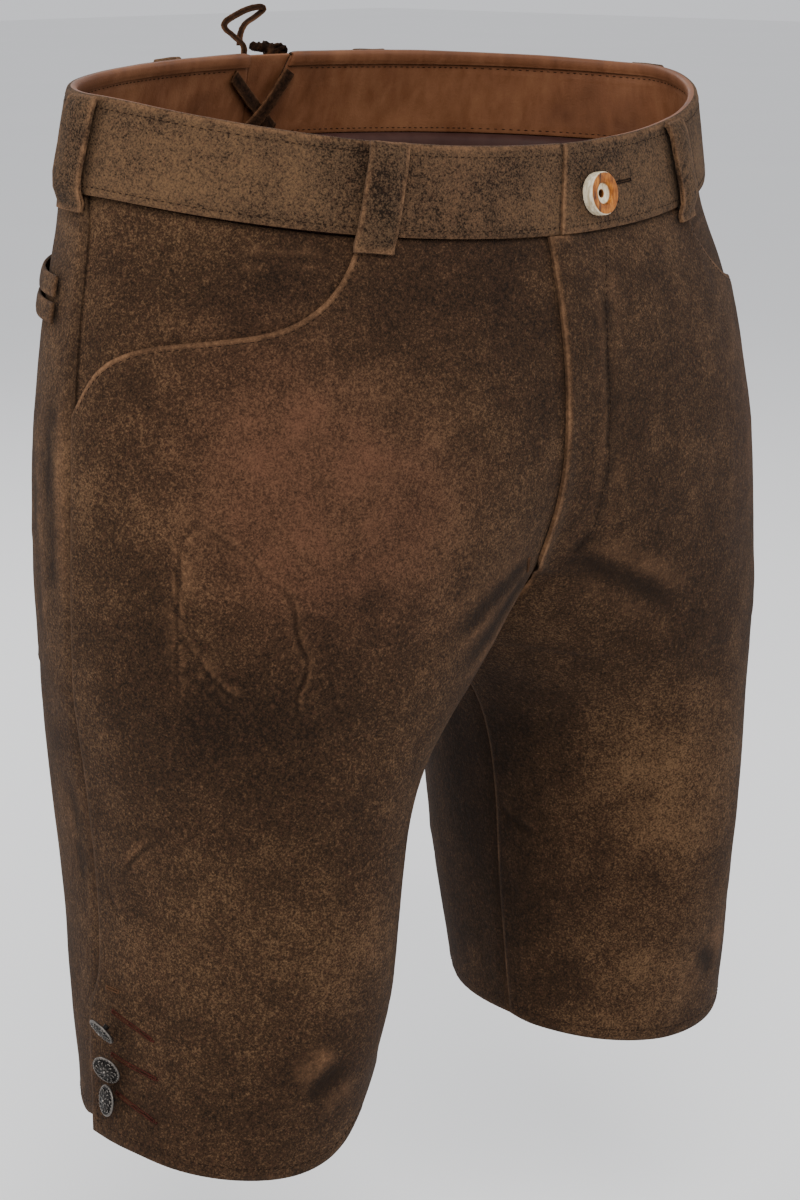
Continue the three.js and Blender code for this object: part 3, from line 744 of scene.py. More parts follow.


# ---- tones of the leather, and some painted shade: side, drop, angle, radius, tone, red ----
TONES_AND_PAINTED_SHADE = (
    (-1, 24, 169, 22, 0.16, 0.0), (-1, 20, 152, 26, 0.30, 0.0), (-1, 14, 136, 24, 0.14, 0.0),
    (-1, 20, 108, 30, 0.20, 0.2), (1, 24, 113, 34, 0.18, 0.0), (-1, 52, 154, 20, 0.16, 0.0),
    (-1, 74, 142, 34, -0.34, 0.0), (-1, 68, 114, 40, -0.20, 0.2), (-1, 70, 99, 30, -0.22, 0.0),
    (-1, 102, 139, 30, 0.06, 0.2), (-1, 140, 167, 24, -0.10, 0.0), (-1, 133, 137, 46, 0.14, 0.45),
    (-1, 160, 128, 46, 0.22, 0.65), (-1, 154, 112, 36, 0.16, 0.6), (-1, 189, 128, 34, 0.10, 0.35),
    (-1, 204, 156, 30, -0.16, 0.0), (-1, 242, 160, 44, -0.20, -0.1), (-1, 254, 142, 40, -0.18, -0.1),
    (-1, 250, 114, 40, -0.12, 0.0), (-1, 200, 100, 30, 0.10, 0.2), (-1, 237, 92, 30, -0.02, 0.0),
    (-1, 283, 133, 44, -0.10, 0.0), (-1, 310, 100, 40, -0.12, 0.0), (-1, 302, 174, 30, -0.08, 0.0),
    (-1, 352, 131, 36, 0.16, 0.0), (-1, 352, 84, 34, 0.14, 0.0), (-1, 413, 101, 34, -0.22, 0.0),
    (-1, 448, 147, 34, -0.20, 0.0), (1, 204, 80, 40, -0.10, 0.0), (1, 256, 80, 40, -0.26, 0.0),
    (1, 296, 50, 28, 0.20, 0.0), (1, 332, 60, 40, 0.46, 0.0), (1, 370, 42, 32, -0.08, 0.1),
    # the dark rows on the left leg's inner side, by the inseam, are painted shade rather than darker leather
    (1, 304, 22, 30, -0.26, 0.0), (1, 340, -8, 60, -0.42, 0.0), (1, 427, -8, 60, -0.34, 0.0),
    (1, 440, 62, 40, 0.26, 0.0), (1, 140, 98, 34, -0.10, 0.0), (-1, 150, 192, 40, 0.16, 0.0),
    (-1, 68, 195, 34, 0.24, -0.2), (-1, 240, 196, 44, 0.10, 0.0),
    # the hidden side and back, in the same kind
    (1, 160, 140, 44, 0.16, 0.4), (1, 240, 165, 44, -0.22, 0.0), (1, 340, 150, 44, 0.14, 0.0),
    (-1, 120, 240, 50, 0.20, 0.3), (1, 120, 240, 50, 0.18, 0.3), (-1, 230, 240, 50, -0.22, 0.0),
    (1, 220, 236, 50, -0.20, 0.0), (-1, 330, 240, 50, 0.14, 0.0), (1, 345, 244, 50, 0.16, 0.1),
    (-1, 430, 250, 40, -0.20, 0.0), (1, 430, 244, 40, -0.18, 0.0), (-1, 24, 235, 30, 0.18, 0.0),
    (1, 24, 240, 30, 0.14, 0.0),
)
TONE_AND_PAINTED_SHADE_SPOTS = [(on_form(s, d, a), r * MM, tone, red, s) for s, d, a, r, tone, red in TONES_AND_PAINTED_SHADE]


def tone_and_painted_shade_at(point, side):
    tone = red = 0.0
    for spot, radius, more, redder, its_side in TONE_AND_PAINTED_SHADE_SPOTS:
        if side is not None and side != its_side and abs(point.x) > 0.03:
            continue
        far = (point - spot).length_squared / radius**2
        if far < 7:
            weight = math.exp(-far)
            tone += more * weight
            red += redder * weight
    return tone, min(max(red, 0.0), 0.85)


def dress(name, bm, side, look, wall, stands_for, creases=(), seams=(), turned=(), roll=0.7,
          uneven=1.0, tone_shift=0.0, inside_look=None):
    """Moves a cloth skin into its creases, seam troughs and turned edges, marks its tones and painted shade,
    and publishes it.

    Seams are stitch lines, pulled in as narrow troughs. Turned edges are worn light; the others roll in and
    are darkened as painted shade."""
    stitch_field = crease_field([(line, 0.8, 0.45, 0.22) for line in seams if line])
    creased = crease_field(creases)
    edges = [v.co.copy() for v in bm.verts if v.is_boundary]
    edge_kd = kd_of(edges)
    worn_points = [(point, weight, width) for line, weight, width in turned for point in line]
    worn_kd = kd_of([point for point, _, _ in worn_points]) if worn_points else None
    marks = {"tone": [], "red": [], "wear": [], "shade": []}
    moves = []
    for vert in bm.verts:
        # dark is the painted shade in the nearest crease trough
        lift, dark = crease_lift(creased, vert.co, vert.normal)
        pulled, sewn = crease_lift(stitch_field, vert.co, vert.normal)
        from_edge = edge_kd.find(vert.co)[2] / MM
        rolled = math.exp(-((from_edge / 1.6) ** 2))
        swell = uneven * broad_lift(vert.co) * (1 - math.exp(-((from_edge / 9) ** 2)) * 0.6)
        moves.append((vert, vert.normal * ((lift + pulled + swell - roll * rolled) * MM)))
        wear = 0.0
        if worn_kd:
            _, index, far = worn_kd.find(vert.co)
            _, weight, width = worn_points[index]
            wear = weight * math.exp(-((far / MM / width) ** 2)) * (0.75 + 0.6 * sway(vert.co, 70, 12))
        # the leather's tones from the listed patches, with painted shade where those patches are dark from
        # shade
        tone, red = tone_and_painted_shade_at(vert.co, side)
        marks["tone"].append(tone + tone_shift)
        marks["red"].append(red)
        # Crease ridges are also marked lighter, through the wear mark.
        marks["wear"].append(max(wear, min(0.8, 0.9 * max(lift, 0.0))))
        # The shade mark is painted shade in crease troughs and along cut edges that are not worn; stitch
        # lines are darkened too.
        marks["shade"].append(
            min(1.0, dark + 0.35 * sewn + 0.45 * math.exp(-((from_edge / 0.8) ** 2)) * (1 - wear))
        )
    for vert, move in moves:
        vert.co += move
    bm.normal_update()
    skin = tree_of(bm)
    piece = publish(name, bm, look, stands_for, wall, marks)
    if inside_look:
        piece.data.materials.append(inside_look)
        for face in piece.data.polygons:
            drop, angle = where(face.center, side)
            inner = (
                Vector(face.center) - on_form(side, drop, angle)
            ).dot(outward(side, drop, angle)) < -0.4 * MM
            face.material_index = 1 if inner else 0
    return piece, skin


# ---- stitches ----
def sew(name, runs, look, length=2.0, gap=2.9, thick=0.42, sink=0.12, slant=0.0):
    """Rows of single stitches along lines on a skin. A run is the skin and its line."""
    bm = bmesh.new()
    for skin, line in runs:
        walked, last = gap, line[0]
        for i, point in enumerate(line[:-1]):
            walked += (point - last).length / MM
            last = point
            if walked < gap:
                continue
            walked = 0.0
            spot, normal, _, _ = skin.find_nearest(point)
            if spot is None or normal is None:
                continue
            along = (line[i + 1] - point).normalized()
            side = normal.cross(along).normalized()
            along = side.cross(normal).normalized()
            axes = Matrix((along, side, normal)).transposed().to_4x4()
            axes = Matrix.Translation(
                spot + normal * (thick / 2 - sink) * MM
            ) @ axes @ Matrix.Rotation(slant, 4, "Z")
            size = Matrix.Diagonal((length / 2 * MM, thick / 2 * MM, thick / 2 * MM, 1))
            bmesh.ops.create_icosphere(bm, subdivisions=1, radius=1, matrix=axes @ size)
    if not bm.verts:
        bm.free()
        return None
    return publish(name, bm, look)


# ---- the lacing ----
THONG_WIDTH, THONG_THICK = 7.0, 1.7
LOOP_WIDTH, LOOP_THICK = 3.2, 1.2
BAND_OUT = 1.7
THONG_SIDES = 12
INSIDE, OUTSIDE = -3.2, 3.3
THONGS = {
    "lace_inside_a": [(-23, 9, INSIDE), (-8, 20, INSIDE), (6, 30.5, INSIDE), (13, 36, INSIDE)],
    "lace_inside_b": [
        (14, 8, INSIDE), (7, 18, INSIDE - 2), (1, 27, INSIDE - 2.4), (-4, 33, INSIDE - 2), (-9, 38, INSIDE)
    ],
    "lace_outside_a": [(-19, 36, OUTSIDE), (0, 24, OUTSIDE), (19, 12, OUTSIDE)],
    "lace_outside_b": [
        (19, 36, OUTSIDE), (8, 29, OUTSIDE + 2), (0, 24, OUTSIDE + 2.4), (-8, 19, OUTSIDE + 2),
        (-19, 12, OUTSIDE)
    ],
}
FREE_LOOP = [
    (-12, 2, 4.2), (-13, -2, 4.6), (-18, -6, 5.5), (-23, -9.5, 6.5), (-22, -12, 7.5), (-15, -14.5, 8.5),
    (-5, -17, 9.5),
    (4, -17.5, 10.5), (6, -15.5, 11.5), (1, -12.5, 11.5), (-6, -9.5, 10.8), (-10, -5, 10), (-11, 0, 9.4),
]


def thong(points, width, thick, face=None, turns=0.0, seed=1, rough=0.12):
    """A flat strap drawn along points: a flattened ring is extruded from station to station."""
    bm = bmesh.new()
    ring = bmesh.ops.create_circle(bm, cap_ends=True, segments=THONG_SIDES, radius=1)["verts"]
    shape = [v.co.copy() for v in ring]
    ordered = sorted(range(THONG_SIDES), key=lambda i: math.atan2(shape[i].y, shape[i].x))
    count = len(points)
    middles = []

    def lay(verts, k):
        along = (points[min(k + 1, count - 1)] - points[max(k - 1, 0)]).normalized()
        up = Vector(face(k / max(count - 1, 1)) if face else (0, -1, 0))
        across = along.cross(up).normalized()
        up = across.cross(along).normalized()
        twist = Matrix.Rotation(turns * k / count, 3, along)
        across, up = twist @ across, twist @ up
        for n, vert in enumerate(verts):
            angle = 2 * math.pi * n / THONG_SIDES
            c, s = math.cos(angle), math.sin(angle)
            ragged = 1 + rough * sway(points[k] + across * c * 0.002, 900, seed)
            flat_c = math.copysign(abs(c) ** 0.55, c) * width / 2 * ragged
            flat_s = math.copysign(abs(s) ** 0.75, s) * thick / 2 * ragged
            vert.co = points[k] + across * flat_c * MM + up * flat_s * MM
        middles.append(points[k])

    loop = [ring[i] for i in ordered]
    lay(loop, 0)
    for k in range(1, count):
        edges = [
            next(
                e for e in loop[n].link_edges if e.other_vert(loop[n]) is loop[(n + 1) % THONG_SIDES]
            ) for n in range(THONG_SIDES)
        ]
        made = bmesh.ops.extrude_edge_only(bm, edges=edges)["geom"]
        fresh = {v for v in made if isinstance(v, bmesh.types.BMVert)}
        loop = [next(e.other_vert(v) for e in v.link_edges if e.other_vert(v) in fresh) for v in loop]
        lay(loop, k)
    bmesh.ops.contextual_create(bm, geom=loop)
    bmesh.ops.recalc_face_normals(bm, faces=bm.faces)
    return bm


def strap_marks(bm, path, width):
    """A thong's cut edges are paler and fibrous."""
    kd = kd_of(path)
    far = [kd.find(v.co)[2] / MM for v in bm.verts]
    return {
        "tone": [0.25 * sway(v.co, 300, 5) for v in bm.verts],
        "red": [0.0] * len(far),
        "wear": [soften(d, 0.3 * width, 0.52 * width) for d in far],
        "shade": [0.0] * len(far),
    }


def centre_back_face(direction):
    return lambda t: (0, direction, 0)


loop_path = flow([back_point(*spot) for spot in FREE_LOOP], 0.9 * MM)
loop_mesh = thong(loop_path, LOOP_WIDTH, LOOP_THICK, lambda t: (-0.4, -0.75, 0.5), turns=0.5, seed=3)
lace_loop = publish(
    "free_lace_loop", loop_mesh, THONG, ["lace_loop"], marks=strap_marks(
        loop_mesh, loop_path, LOOP_WIDTH
    )
)

for word, spots in THONGS.items():
    path = flow([back_point(*spot) for spot in spots], 1.0 * MM)
    inside = "inside" in word
    mesh = thong(
        path, THONG_WIDTH, THONG_THICK, centre_back_face(-1 if inside else 1), seed=len(word) + ord(word[-1])
    )
    publish(
        word.replace("lace", "crossed_lace"), mesh, THONG, [word],
        marks=strap_marks(mesh, path, THONG_WIDTH)
    )

# The knot: three short bights and a wrap, crumpled over the rim.
KNOT_BIGHTS = (
    ((6, 1, 4.4), (0, -3, 5.6), (-6, -3.6, 6.8), (-5, -0.6, 7.8), (2, 1.6, 7.4), (6, 1.2, 6)),
    ((4, 1, 4.6), (9, -3.4, 5.2), (15, -2.8, 6.4), (17, 0.6, 7.2), (11, 2.4, 7.4), (5, 1.6, 6.4)),
    ((5, 3.5, 4.2), (4.5, -1, 3.6), (5, -4.6, 5.4), (6, -3.4, 8), (6.4, 1, 8.6), (6, 4.4, 6.6)),
    ((8, 2.6, 4.8), (12, -1, 4.2), (17, -1.8, 5.2), (18, 1.6, 5.4), (14, 3.6, 5.8)),
)
knot_mesh = bmesh.new()
for n, spots in enumerate(KNOT_BIGHTS):
    spots = [(4 + 0.76 * (arc - 4), 0.5 * drop + 1.3, out) for arc, drop, out in spots]
    part = thong(
        flow([back_point(*spot) for spot in spots], 0.9 * MM), 4.2, 1.7, lambda t: (0.3, 0.8, 0.5),
        turns=1.1, seed=n + 11, rough=0.5
    )
    bight = bpy.data.meshes.new("bight")
    part.to_mesh(bight)
    part.free()
    knot_mesh.from_mesh(bight)
    bpy.data.meshes.remove(bight)
publish(
    "tied_lace_knot", knot_mesh, THONG, ["lace_knot"],
    marks={
        "tone": [-0.15 + 0.4 * sway(v.co, 320, 6) for v in knot_mesh.verts],
        "red": [0.0] * len(knot_mesh.verts),
        "wear": [max(0.0, 0.9 * sway(v.co, 420, 8)) for v in knot_mesh.verts],
        "shade": [0.0] * len(knot_mesh.verts),
    },
)

# ---- creases on the leg panels: places, width, depth, ridge ----
CREASES = {
    ("front", RIGHT): (
        (
            (
                (164, 148), (172, 150), (180, 152), (198, 152), (214, 152), (220, 151), (223, 152),
                (236, 152), (248, 152)
            ),
            0.85, 2.1, 0.9
        ),
        (((219, 151), (228, 147), (236, 143), (244, 137)), 0.85, 1.9, 0.8),
        (
            (
                (190, 134), (194, 130), (202, 127), (214, 125), (224, 122), (234, 122), (240, 123),
                (248, 122), (252, 123)
            ),
            0.85, 1.5, 0.6
        ),
        (((170, 149), (173, 146), (178, 141), (184, 137), (190, 134)), 1.0, 0.7, 0.4),
        (((337, 178), (326, 171), (314, 162)), 1.0, 0.7, 0.4),
        (((346, 186), (354, 184), (358, 181)), 1.0, 0.4, 0.2),
        (((242, 114), (248, 111)), 1.0, 0.35, 0.2),
        (((426, 106), (420, 100), (414, 93)), 5.0, 1.3, 0.7),
        (((196, 66), (206, 74), (222, 84)), 4.0, 0.9, 0.4),
        (((204, 60), (220, 64), (240, 72)), 4.5, 0.8, 0.4),
    ),
    ("front", LEFT): (
        (
            ((48, 99), (75, 94), (98, 90), (123, 86), (142, 82), (158, 79), (167, 76), (186, 70)), 2.0, 0.5,
            0.45
        ),
        (((352, 55), (344, 59), (336, 63)), 1.1, 0.5, 0.25),
        (((358, 2), (362, 8), (366, 16)), 1.6, 0.6, 0.3),
        (((186, 70), (195, 65), (206, 60)), 3.5, 0.9, 0.4),
        (((200, 62), (214, 72), (232, 84)), 4.5, 0.8, 0.4),
        (((168, 152), (186, 149), (206, 150), (228, 147)), 1.0, 0.5, 0.25),
        (((420, 92), (428, 100), (436, 104)), 5.0, 1.1, 0.6),
    ),
    ("back", RIGHT): (
        (((120, 188), (150, 190), (186, 191), (220, 193)), 4.5, 0.6, 0.35),
        (((150, 203), (190, 202), (235, 205)), 4.0, 0.5, 0.3),
        (((300, 198), (330, 196), (360, 199)), 4.0, 0.5, 0.3),
        (((236, 290), (246, 276), (252, 258)), 5.0, 0.8, 0.4),
        (((262, 300), (274, 284), (282, 266)), 4.5, 0.6, 0.3),
        (((180, 262), (196, 250), (206, 236)), 5.5, 0.6, 0.3),
    ),
    ("back", LEFT): (
        (((130, 189), (160, 191), (200, 192)), 4.5, 0.55, 0.35),
        (((160, 204), (205, 203), (240, 206)), 4.0, 0.5, 0.3),
        (((234, 288), (244, 274), (248, 256)), 5.0, 0.75, 0.35),
        (((268, 296), (280, 282), (286, 266)), 4.5, 0.55, 0.3),
        (((184, 260), (198, 246), (212, 236)), 5.5, 0.6, 0.3),
    ),
}
HEM_SLITS = (((404, 184), (410, 168)), ((424, 185), (427, 166)), ((441, 184), (446, 166)))
J_STITCH = (
    (48, 99), (75, 94), (98, 90), (123, 86), (142, 82), (158, 79), (167, 76), (186, 70), (193, 66), (208, 56)
)
HEM_TURN = 6
EDGE_STITCH = 2.6
HEM_ZONE = 446
SHORT_HEM = {"rise": 26, "angle": 50, "reach": 30, "from": 385, "to": 470}
SEAM_TUCK = {"onward": 1.4, "under": 0.5}
TAB_RUN_ON = 2.4
PANEL_WALL, BAND_WALL, POCKET_WALL, UNDERLAP_WALL = 1.8, 1.3, 1.2, 1.5
LINING_WALL, GUSSET_WALL, WELT_WALL = 0.8, 1.6, 1.4
# Drops of the stitch rows and worn edges that run round the bands.
BAND_ROWS = {"top": 5.2, "foot": 38.6, "rim": 1.0, "fold": 41.6}
INNER_ROWS = {"top": 7.4, "foot": 37.6, "edge": 39.6}
INNER_OUT = -1.6

rows = []
panels = {}


def is_hem(side):
    return lambda co: where(co, side)[0] > HEM_ZONE


def is_mouth(side):
    def test(co):
        drop, angle = where(co, side)
        return 120 < angle < 180 and drop < 140 and co.z < -0.05
    return test


def is_fly(co):
    return co.x < 0.003 and 46 * MM < -co.z < 0.235


def is_side_edge(side):
    """The front panel's own side edge, which laps over the back panel."""
    return lambda co: 48 < where(co, side)[0] < 458 and where(co, side)[1] > 172


def is_inseam(side):
    return lambda co: 262 < where(co, side)[0] < 458 and (
        where(co, side)[1] < 12 or where(co, side)[1] > 348
    )


def shorten_hem(bm, side):
    """The right leg's hem hangs shorter on its inner front."""
    if side == LEFT:
        return
    for vert in bm.verts:
        drop, angle = where(vert.co, side)
        from_middle = (angle - SHORT_HEM["angle"] + 180) % 360 - 180
        near = math.exp(-((from_middle / SHORT_HEM["reach"]) ** 2))
        vert.co.z += SHORT_HEM["rise"] * MM * near * soften(drop, SHORT_HEM["from"], SHORT_HEM["to"])
    bm.normal_update()


def settle_fly(bm):
    """Below the fly the left front sinks back quickly beside the right."""
    for vert in bm.verts:
        drop, angle = where(vert.co, LEFT)
        if not 200 < drop < 232 or vert.co.x > 0.024:
            continue
        now, wanted = 1 - soften(drop, 212, 226), 1 - soften(drop, 207, 214)
        vert.co -= vert.normal * (2.5 * max(now - wanted, 0) * (1 - soften(vert.co.x / MM, 2, 22)) * MM)
    bm.normal_update()


def tuck_side_seam(bm, side):
    """The back panel's side edge runs on a little way under the front's, so that no light shows."""
    for vert in bm.verts:
        drop, angle = where(vert.co, side)
        if vert.is_boundary and 48 < drop < 392 and 165 < angle < 215:
            onward = (on_form(side, drop, angle - 2) - on_form(side, drop, angle)).normalized()
            vert.co += (onward * SEAM_TUCK["onward"] - outward(side, drop, angle) * SEAM_TUCK["under"]) * MM


for side in (RIGHT, LEFT):
    word = WORDS[side]
    # front panel
    name = "front_" + word
    bm = skin_of(name, side)
    shorten_hem(bm, side)
    mouth = border(bm, is_mouth(side), EDGE_STITCH)
    mouth_edge = border(bm, is_mouth(side), 0.7)
    hem = border(bm, is_hem(side), HEM_TURN)
    seams = [mouth, hem]
    turned = [
        (mouth_edge, 0.85, 1.5), (border(bm, is_hem(side), 0.3), 0.22, 0.8),
        (border(bm, is_side_edge(side), 0.3), 0.5, 0.8)
    ]
    if side == LEFT:
        settle_fly(bm)
        turned.append((border(bm, is_fly, 0.5), 0.8, 1.3))
        turned.append((border(bm, is_inseam(side), 0.4), 0.5, 1.0))
        j_line = traced(LEFT, J_STITCH)
        seams.append(j_line)
    creases = [
        (traced(side, spots), width, depth, ridge) for spots, width, depth, ridge in CREASES["front", side]
    ]
    # The hem slits are troughs too; their painted shade stands for the dark inside the open slit.
    creases += [(traced(side, spots), 0.8, 0.7, 0.0) for spots in HEM_SLITS]
    fine = [line for line, width, _, _ in creases if width < 2]
    refine(bm, seams + [line for line, _, _ in turned], 4.5)
    refine(bm, fine, 6.5, 2)
    piece, skin = dress(
        "front_panel_" + word, bm, side, SUEDE, PANEL_WALL, [name], creases, seams, turned
    )
    panels[name] = (piece, skin)
    rows += [(skin, mouth), (skin, hem)] + ([(skin, j_line)] if side == LEFT else [])

    # back panel
    name = "back_" + word
    bm = skin_of(name, side)
    shorten_hem(bm, side)
    tuck_side_seam(bm, side)
    hem = border(bm, is_hem(side), HEM_TURN)
    turned = [(border(bm, is_hem(side), 0.3), 0.22, 0.8)]
    creases = [
        (traced(side, spots), width, depth, ridge) for spots, width, depth, ridge in CREASES["back", side]
    ]
    refine(bm, [hem, turned[0][0]], 4.5)
    piece, skin = dress(
        "back_panel_" + word, bm, side, SUEDE, PANEL_WALL, [name], creases, [hem], turned
    )
    panels[name] = (piece, skin)
    rows.append((skin, hem))

    # pocket and slit facings
    bm = skin_of("pocket_facing_" + word, side)
    creases = [(traced(side, ((57, 147), (56, 142), (54, 133), (56, 129))), 1.4, 0.7, 0.4)]
    refine(bm, [creases[0][0]], 6)
    piece, skin = dress(
        "pocket_back_" + word, bm, side, FACING_SUEDE, POCKET_WALL, [
            "pocket_facing_" + word
        ], creases, roll=0, uneven=0.4
    )
    panels["pocket_facing_" + word] = (piece, skin)
    bm = skin_of("slit_facing_" + word, side)
    dress(
        "slit_underlap_" + word, bm, side, FACING_SUEDE, UNDERLAP_WALL, ["slit_facing_" + word],
        roll=0, uneven=0, tone_shift=-0.25
    )

    # waistband, its smooth facing and the lining below
    start, end = (90 if side == RIGHT else 92), 262
    bm = skin_of("waistband_" + word, side, levels=3, sharp=56)
    top_row = level_line(side, BAND_ROWS["top"], start, end, BAND_OUT)
    foot_row = level_line(side, BAND_ROWS["foot"], start, end, BAND_OUT)
    turned = [
        (level_line(side, BAND_ROWS["rim"], start, end, 1.3), 0.55, 1.1),
        (level_line(side, BAND_ROWS["fold"], start, end, BAND_OUT), 0.55, 0.9),
    ]
    if side == LEFT:
        tab_edge = border(bm, lambda co: co.x < 0.02 and co.y < -0.06 and -0.068 < co.z < -0.020, 0.5)
        turned.append((tab_edge, 0.75, 1.1))
    else:
        for vert in bm.verts:
            if vert.co.y < -0.05 and vert.co.x > -0.012:
                vert.co.x += TAB_RUN_ON * MM * soften(vert.co.x / MM, -12, 0)
    piece, skin = dress(
        "outer_band_" + word, bm, side, BAND_SUEDE, BAND_WALL, ["waistband_" + word],
        seams=[top_row, foot_row], turned=turned, roll=0.5, uneven=0.5, inside_look=CHESTNUT,
    )
    panels["waistband_" + word] = (piece, skin)
    rows += [(skin, top_row), (skin, foot_row)]
    bm = skin_of("inner_band_" + word, side, facing=-1, levels=3)
    inner_top = level_line(side, INNER_ROWS["top"], start, end, INNER_OUT)
    inner_foot = level_line(side, INNER_ROWS["foot"], start, end, INNER_OUT)
    inner_edges = level_line(side, INNER_ROWS["edge"], start, end, INNER_OUT)
    piece, skin = dress(
        "smooth_band_" + word, bm, side, CHESTNUT, BAND_WALL, ["inner_band_" + word], seams=[
            inner_top, inner_foot
        ],
        turned=[(inner_edges, 0.5, 1.0)], roll=0.3, uneven=0.5,
    )
    panels["inner_band_" + word] = (piece, skin)
    rows += [(skin, inner_top), (skin, inner_foot)]
    bm = skin_of("lining_" + word, side, facing=-1, levels=1, sharp=75)
    dress(
        "lining_strip_" + word, bm, side, LINING, LINING_WALL, ["lining_" + word], roll=0,
        uneven=0.3
    )

# ---- stand, gusset and pocket welts ----
bm = skin_of("button_stand", LEFT)
dress("tab_stand", bm, None, BAND_SUEDE, BAND_WALL, ["button_stand"], roll=0.2, uneven=0.2)
bm = skin_of("back_gusset", LEFT, facing=-1, levels=3)
wavy = border(bm, lambda co: co.z > 0.006, 0.4)
dress(
    "back_v_gusset", bm, None, CHESTNUT, GUSSET_WALL, ["back_gusset"],
    turned=[(wavy, 1.0, 1.2)], roll=0.2, uneven=0.5
)
for level in ("upper", "lower"):
    name = "back_pocket_welt_" + level
    bm = skin_of(name, RIGHT, levels=3)
    edge = border(bm, lambda co: True, 0.4)
    dress(
        "pocket_welt_" + level, bm, RIGHT, SUEDE, WELT_WALL, [name], turned=[(edge, 0.5, 1.0)],
        roll=0.5, uneven=0.2
    )


# ---- belt loops ----
def finished_strap(name, piece_name, look, side):
    """A strap solid with soft corners and worn long edges."""
    bm = merged_copy(name)
    bmesh.ops.dissolve_limit(bm, angle_limit=math.radians(1), verts=bm.verts, edges=bm.edges)
    bmesh.ops.triangulate(bm, faces=[f for f in bm.faces if len(f.verts) > 4])
    sharp = [e for e in bm.edges if len(e.link_faces) == 2 and e.calc_face_angle(0) > math.radians(55)]
    ridges = [
        e.verts[0].co.lerp(e.verts[1].co, k / 8) for e in sharp for k in range(9)
    ]
    bmesh.ops.bevel(
        bm, geom=sharp, offset=0.0006, offset_type="OFFSET", segments=2, profile=0.5, affect="EDGES",
        material=-1, clamp_overlap=True
    )
    bmesh.ops.subdivide_edges(
        bm, edges=[e for e in bm.edges if e.calc_length() > 0.004], cuts=4, use_grid_fill=True
    )
    bm.normal_update()
    kd = kd_of(ridges)
    marks = {"tone": [], "red": [], "wear": [], "shade": []}
    for vert in bm.verts:
        far = kd.find(vert.co)[2] / MM
        marks["tone"].append(0.3 * sway(vert.co, 60, 9) - 0.04)
        marks["red"].append(0.0)
        marks["wear"].append(0.8 * math.exp(-((far / 1.3) ** 2)) * (0.7 + 0.7 * sway(vert.co, 90, 3)))
        marks["shade"].append(0.0)
        swell = 0.9 * soften(far, 0.5, 6) * max(
            vert.normal.dot(outward(side, 20, where(vert.co, side)[1])), 0
        )
        vert.co += vert.normal * ((swell + 0.3 * sway(vert.co, 120, 4)) * MM)
    return publish(piece_name, bm, look, [name], marks=marks)


for side in (RIGHT, LEFT):
    for spot in ("front", "side", "back"):
        word = f"{spot}_{WORDS[side]}"
        finished_strap("belt_loop_" + word, "sewn_belt_loop_" + word, BAND_SUEDE, side)


# ---- buttons ----
def seat(name):
    """A button's own axes: Z out of the cloth, X level, from the middle of its foot."""
    points = np.array([v.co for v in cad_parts[name].data.vertices], float)
    middle = (points.max(0) + points.min(0)) / 2
    centred = points - points.mean(0)
    axis = Vector(np.linalg.svd(centred, full_matrices=False)[2][2])
    side = LEFT if middle[0] > 0 else RIGHT
    row = section(-middle[2] / MM)
    away = Vector((middle[0] - side * row["centre"] * MM, middle[1] - row["mid"] * MM, 0))
    if axis.dot(away) < 0:
        axis = -axis
    heights = (points - middle) @ np.array(axis)
    foot = Vector(middle) + axis * float(heights.min())
    level = Vector((0, 0, 1)).cross(axis).normalized()
    up = axis.cross(level)
    turn = Matrix((level, up, axis)).transposed().to_4x4()
    return Matrix.Translation(foot) @ turn


def spun(bm, profile, steps=40):
    """A profile of radius and height, in millimetres, spun round Z. It closes on itself or on the axis."""
    verts = [bm.verts.new((radius * MM, 0, height * MM)) for radius, height in profile]
    edges = [bm.edges.new((a, b)) for a, b in zip(verts, verts[1:])]
    bmesh.ops.spin(
        bm, geom=verts + edges, cent=(0, 0, 0), axis=(0, 0, 1), angle=2 * math.pi, steps=steps,
        use_merge=True
    )
    bmesh.ops.remove_doubles(bm, verts=bm.verts, dist=1e-6)


HORN_PROFILE = (
    (1.7, 0.2), (9.6, 0.2), (10.7, 0.7), (11.0, 1.8), (11.0, 5.4), (10.8, 6.1), (10.3, 6.45), (9.2, 6.5),
    (6.3, 6.35), (5.5, 5.8), (5.1, 4.6), (4.6, 4.2), (2.6, 4.2), (2.0, 3.9), (1.7, 3.0), (1.7, 0.2),
)

HORN_SCALE = 9.8 / 11
axes = seat("waist_button")
bm = bmesh.new()
spun(bm, HORN_PROFILE, 56)
bmesh.ops.recalc_face_normals(bm, faces=bm.faces)
bm = rounded(bm, 2)
bark, shade = [], []
for vert in bm.verts:
    x, y, z = (value / MM for value in vert.co)
    radius = math.hypot(x, y)
    wall = soften(radius, 10.2, 10.7) * soften(3.0 - x + 0.6 * sway(vert.co, 500, 3), -0.6, 0.6)
    ring = soften(radius, 2.0, 2.4) * (1 - soften(radius, 4.9, 5.3))
    bark.append(max(wall, ring))
    split = -4.4 + 0.16 * y + 0.3 * sway(vert.co, 400, 3)
    line = math.exp(-(((x - split) / 0.7) ** 2)) if 5.4 < radius < 10.6 and z > 3 else 0.0
    # shade: a dark split line across the rim, and painted shade down the middle hole
    shade.append(max(0.95 * line, 1 - soften(radius, 1.6, 2.2)))
bmesh.ops.transform(bm, matrix=axes @ Matrix.Diagonal((HORN_SCALE, HORN_SCALE, 1, 1)), verts=bm.verts)
publish("horn_tab_button", bm, HORN, ["waist_button"], marks={"bark": bark, "shade": shade})

PEWTER_SCALE = 7.2 / 8.25
BEADS, LEAVES = 26, 6
PEWTER_PROFILE = (
    (0.0, 0.1), (1.7, 0.1), (1.5, 0.8), (1.3, 2.2), (1.8, 2.7), (7.4, 2.9), (8.0, 3.1), (8.25, 3.5),
    (8.1, 3.95), (7.6, 4.1),
    (7.1, 3.95), (6.6, 3.9), (4.6, 4.5), (2.2, 4.9), (0.0, 5.0),
)


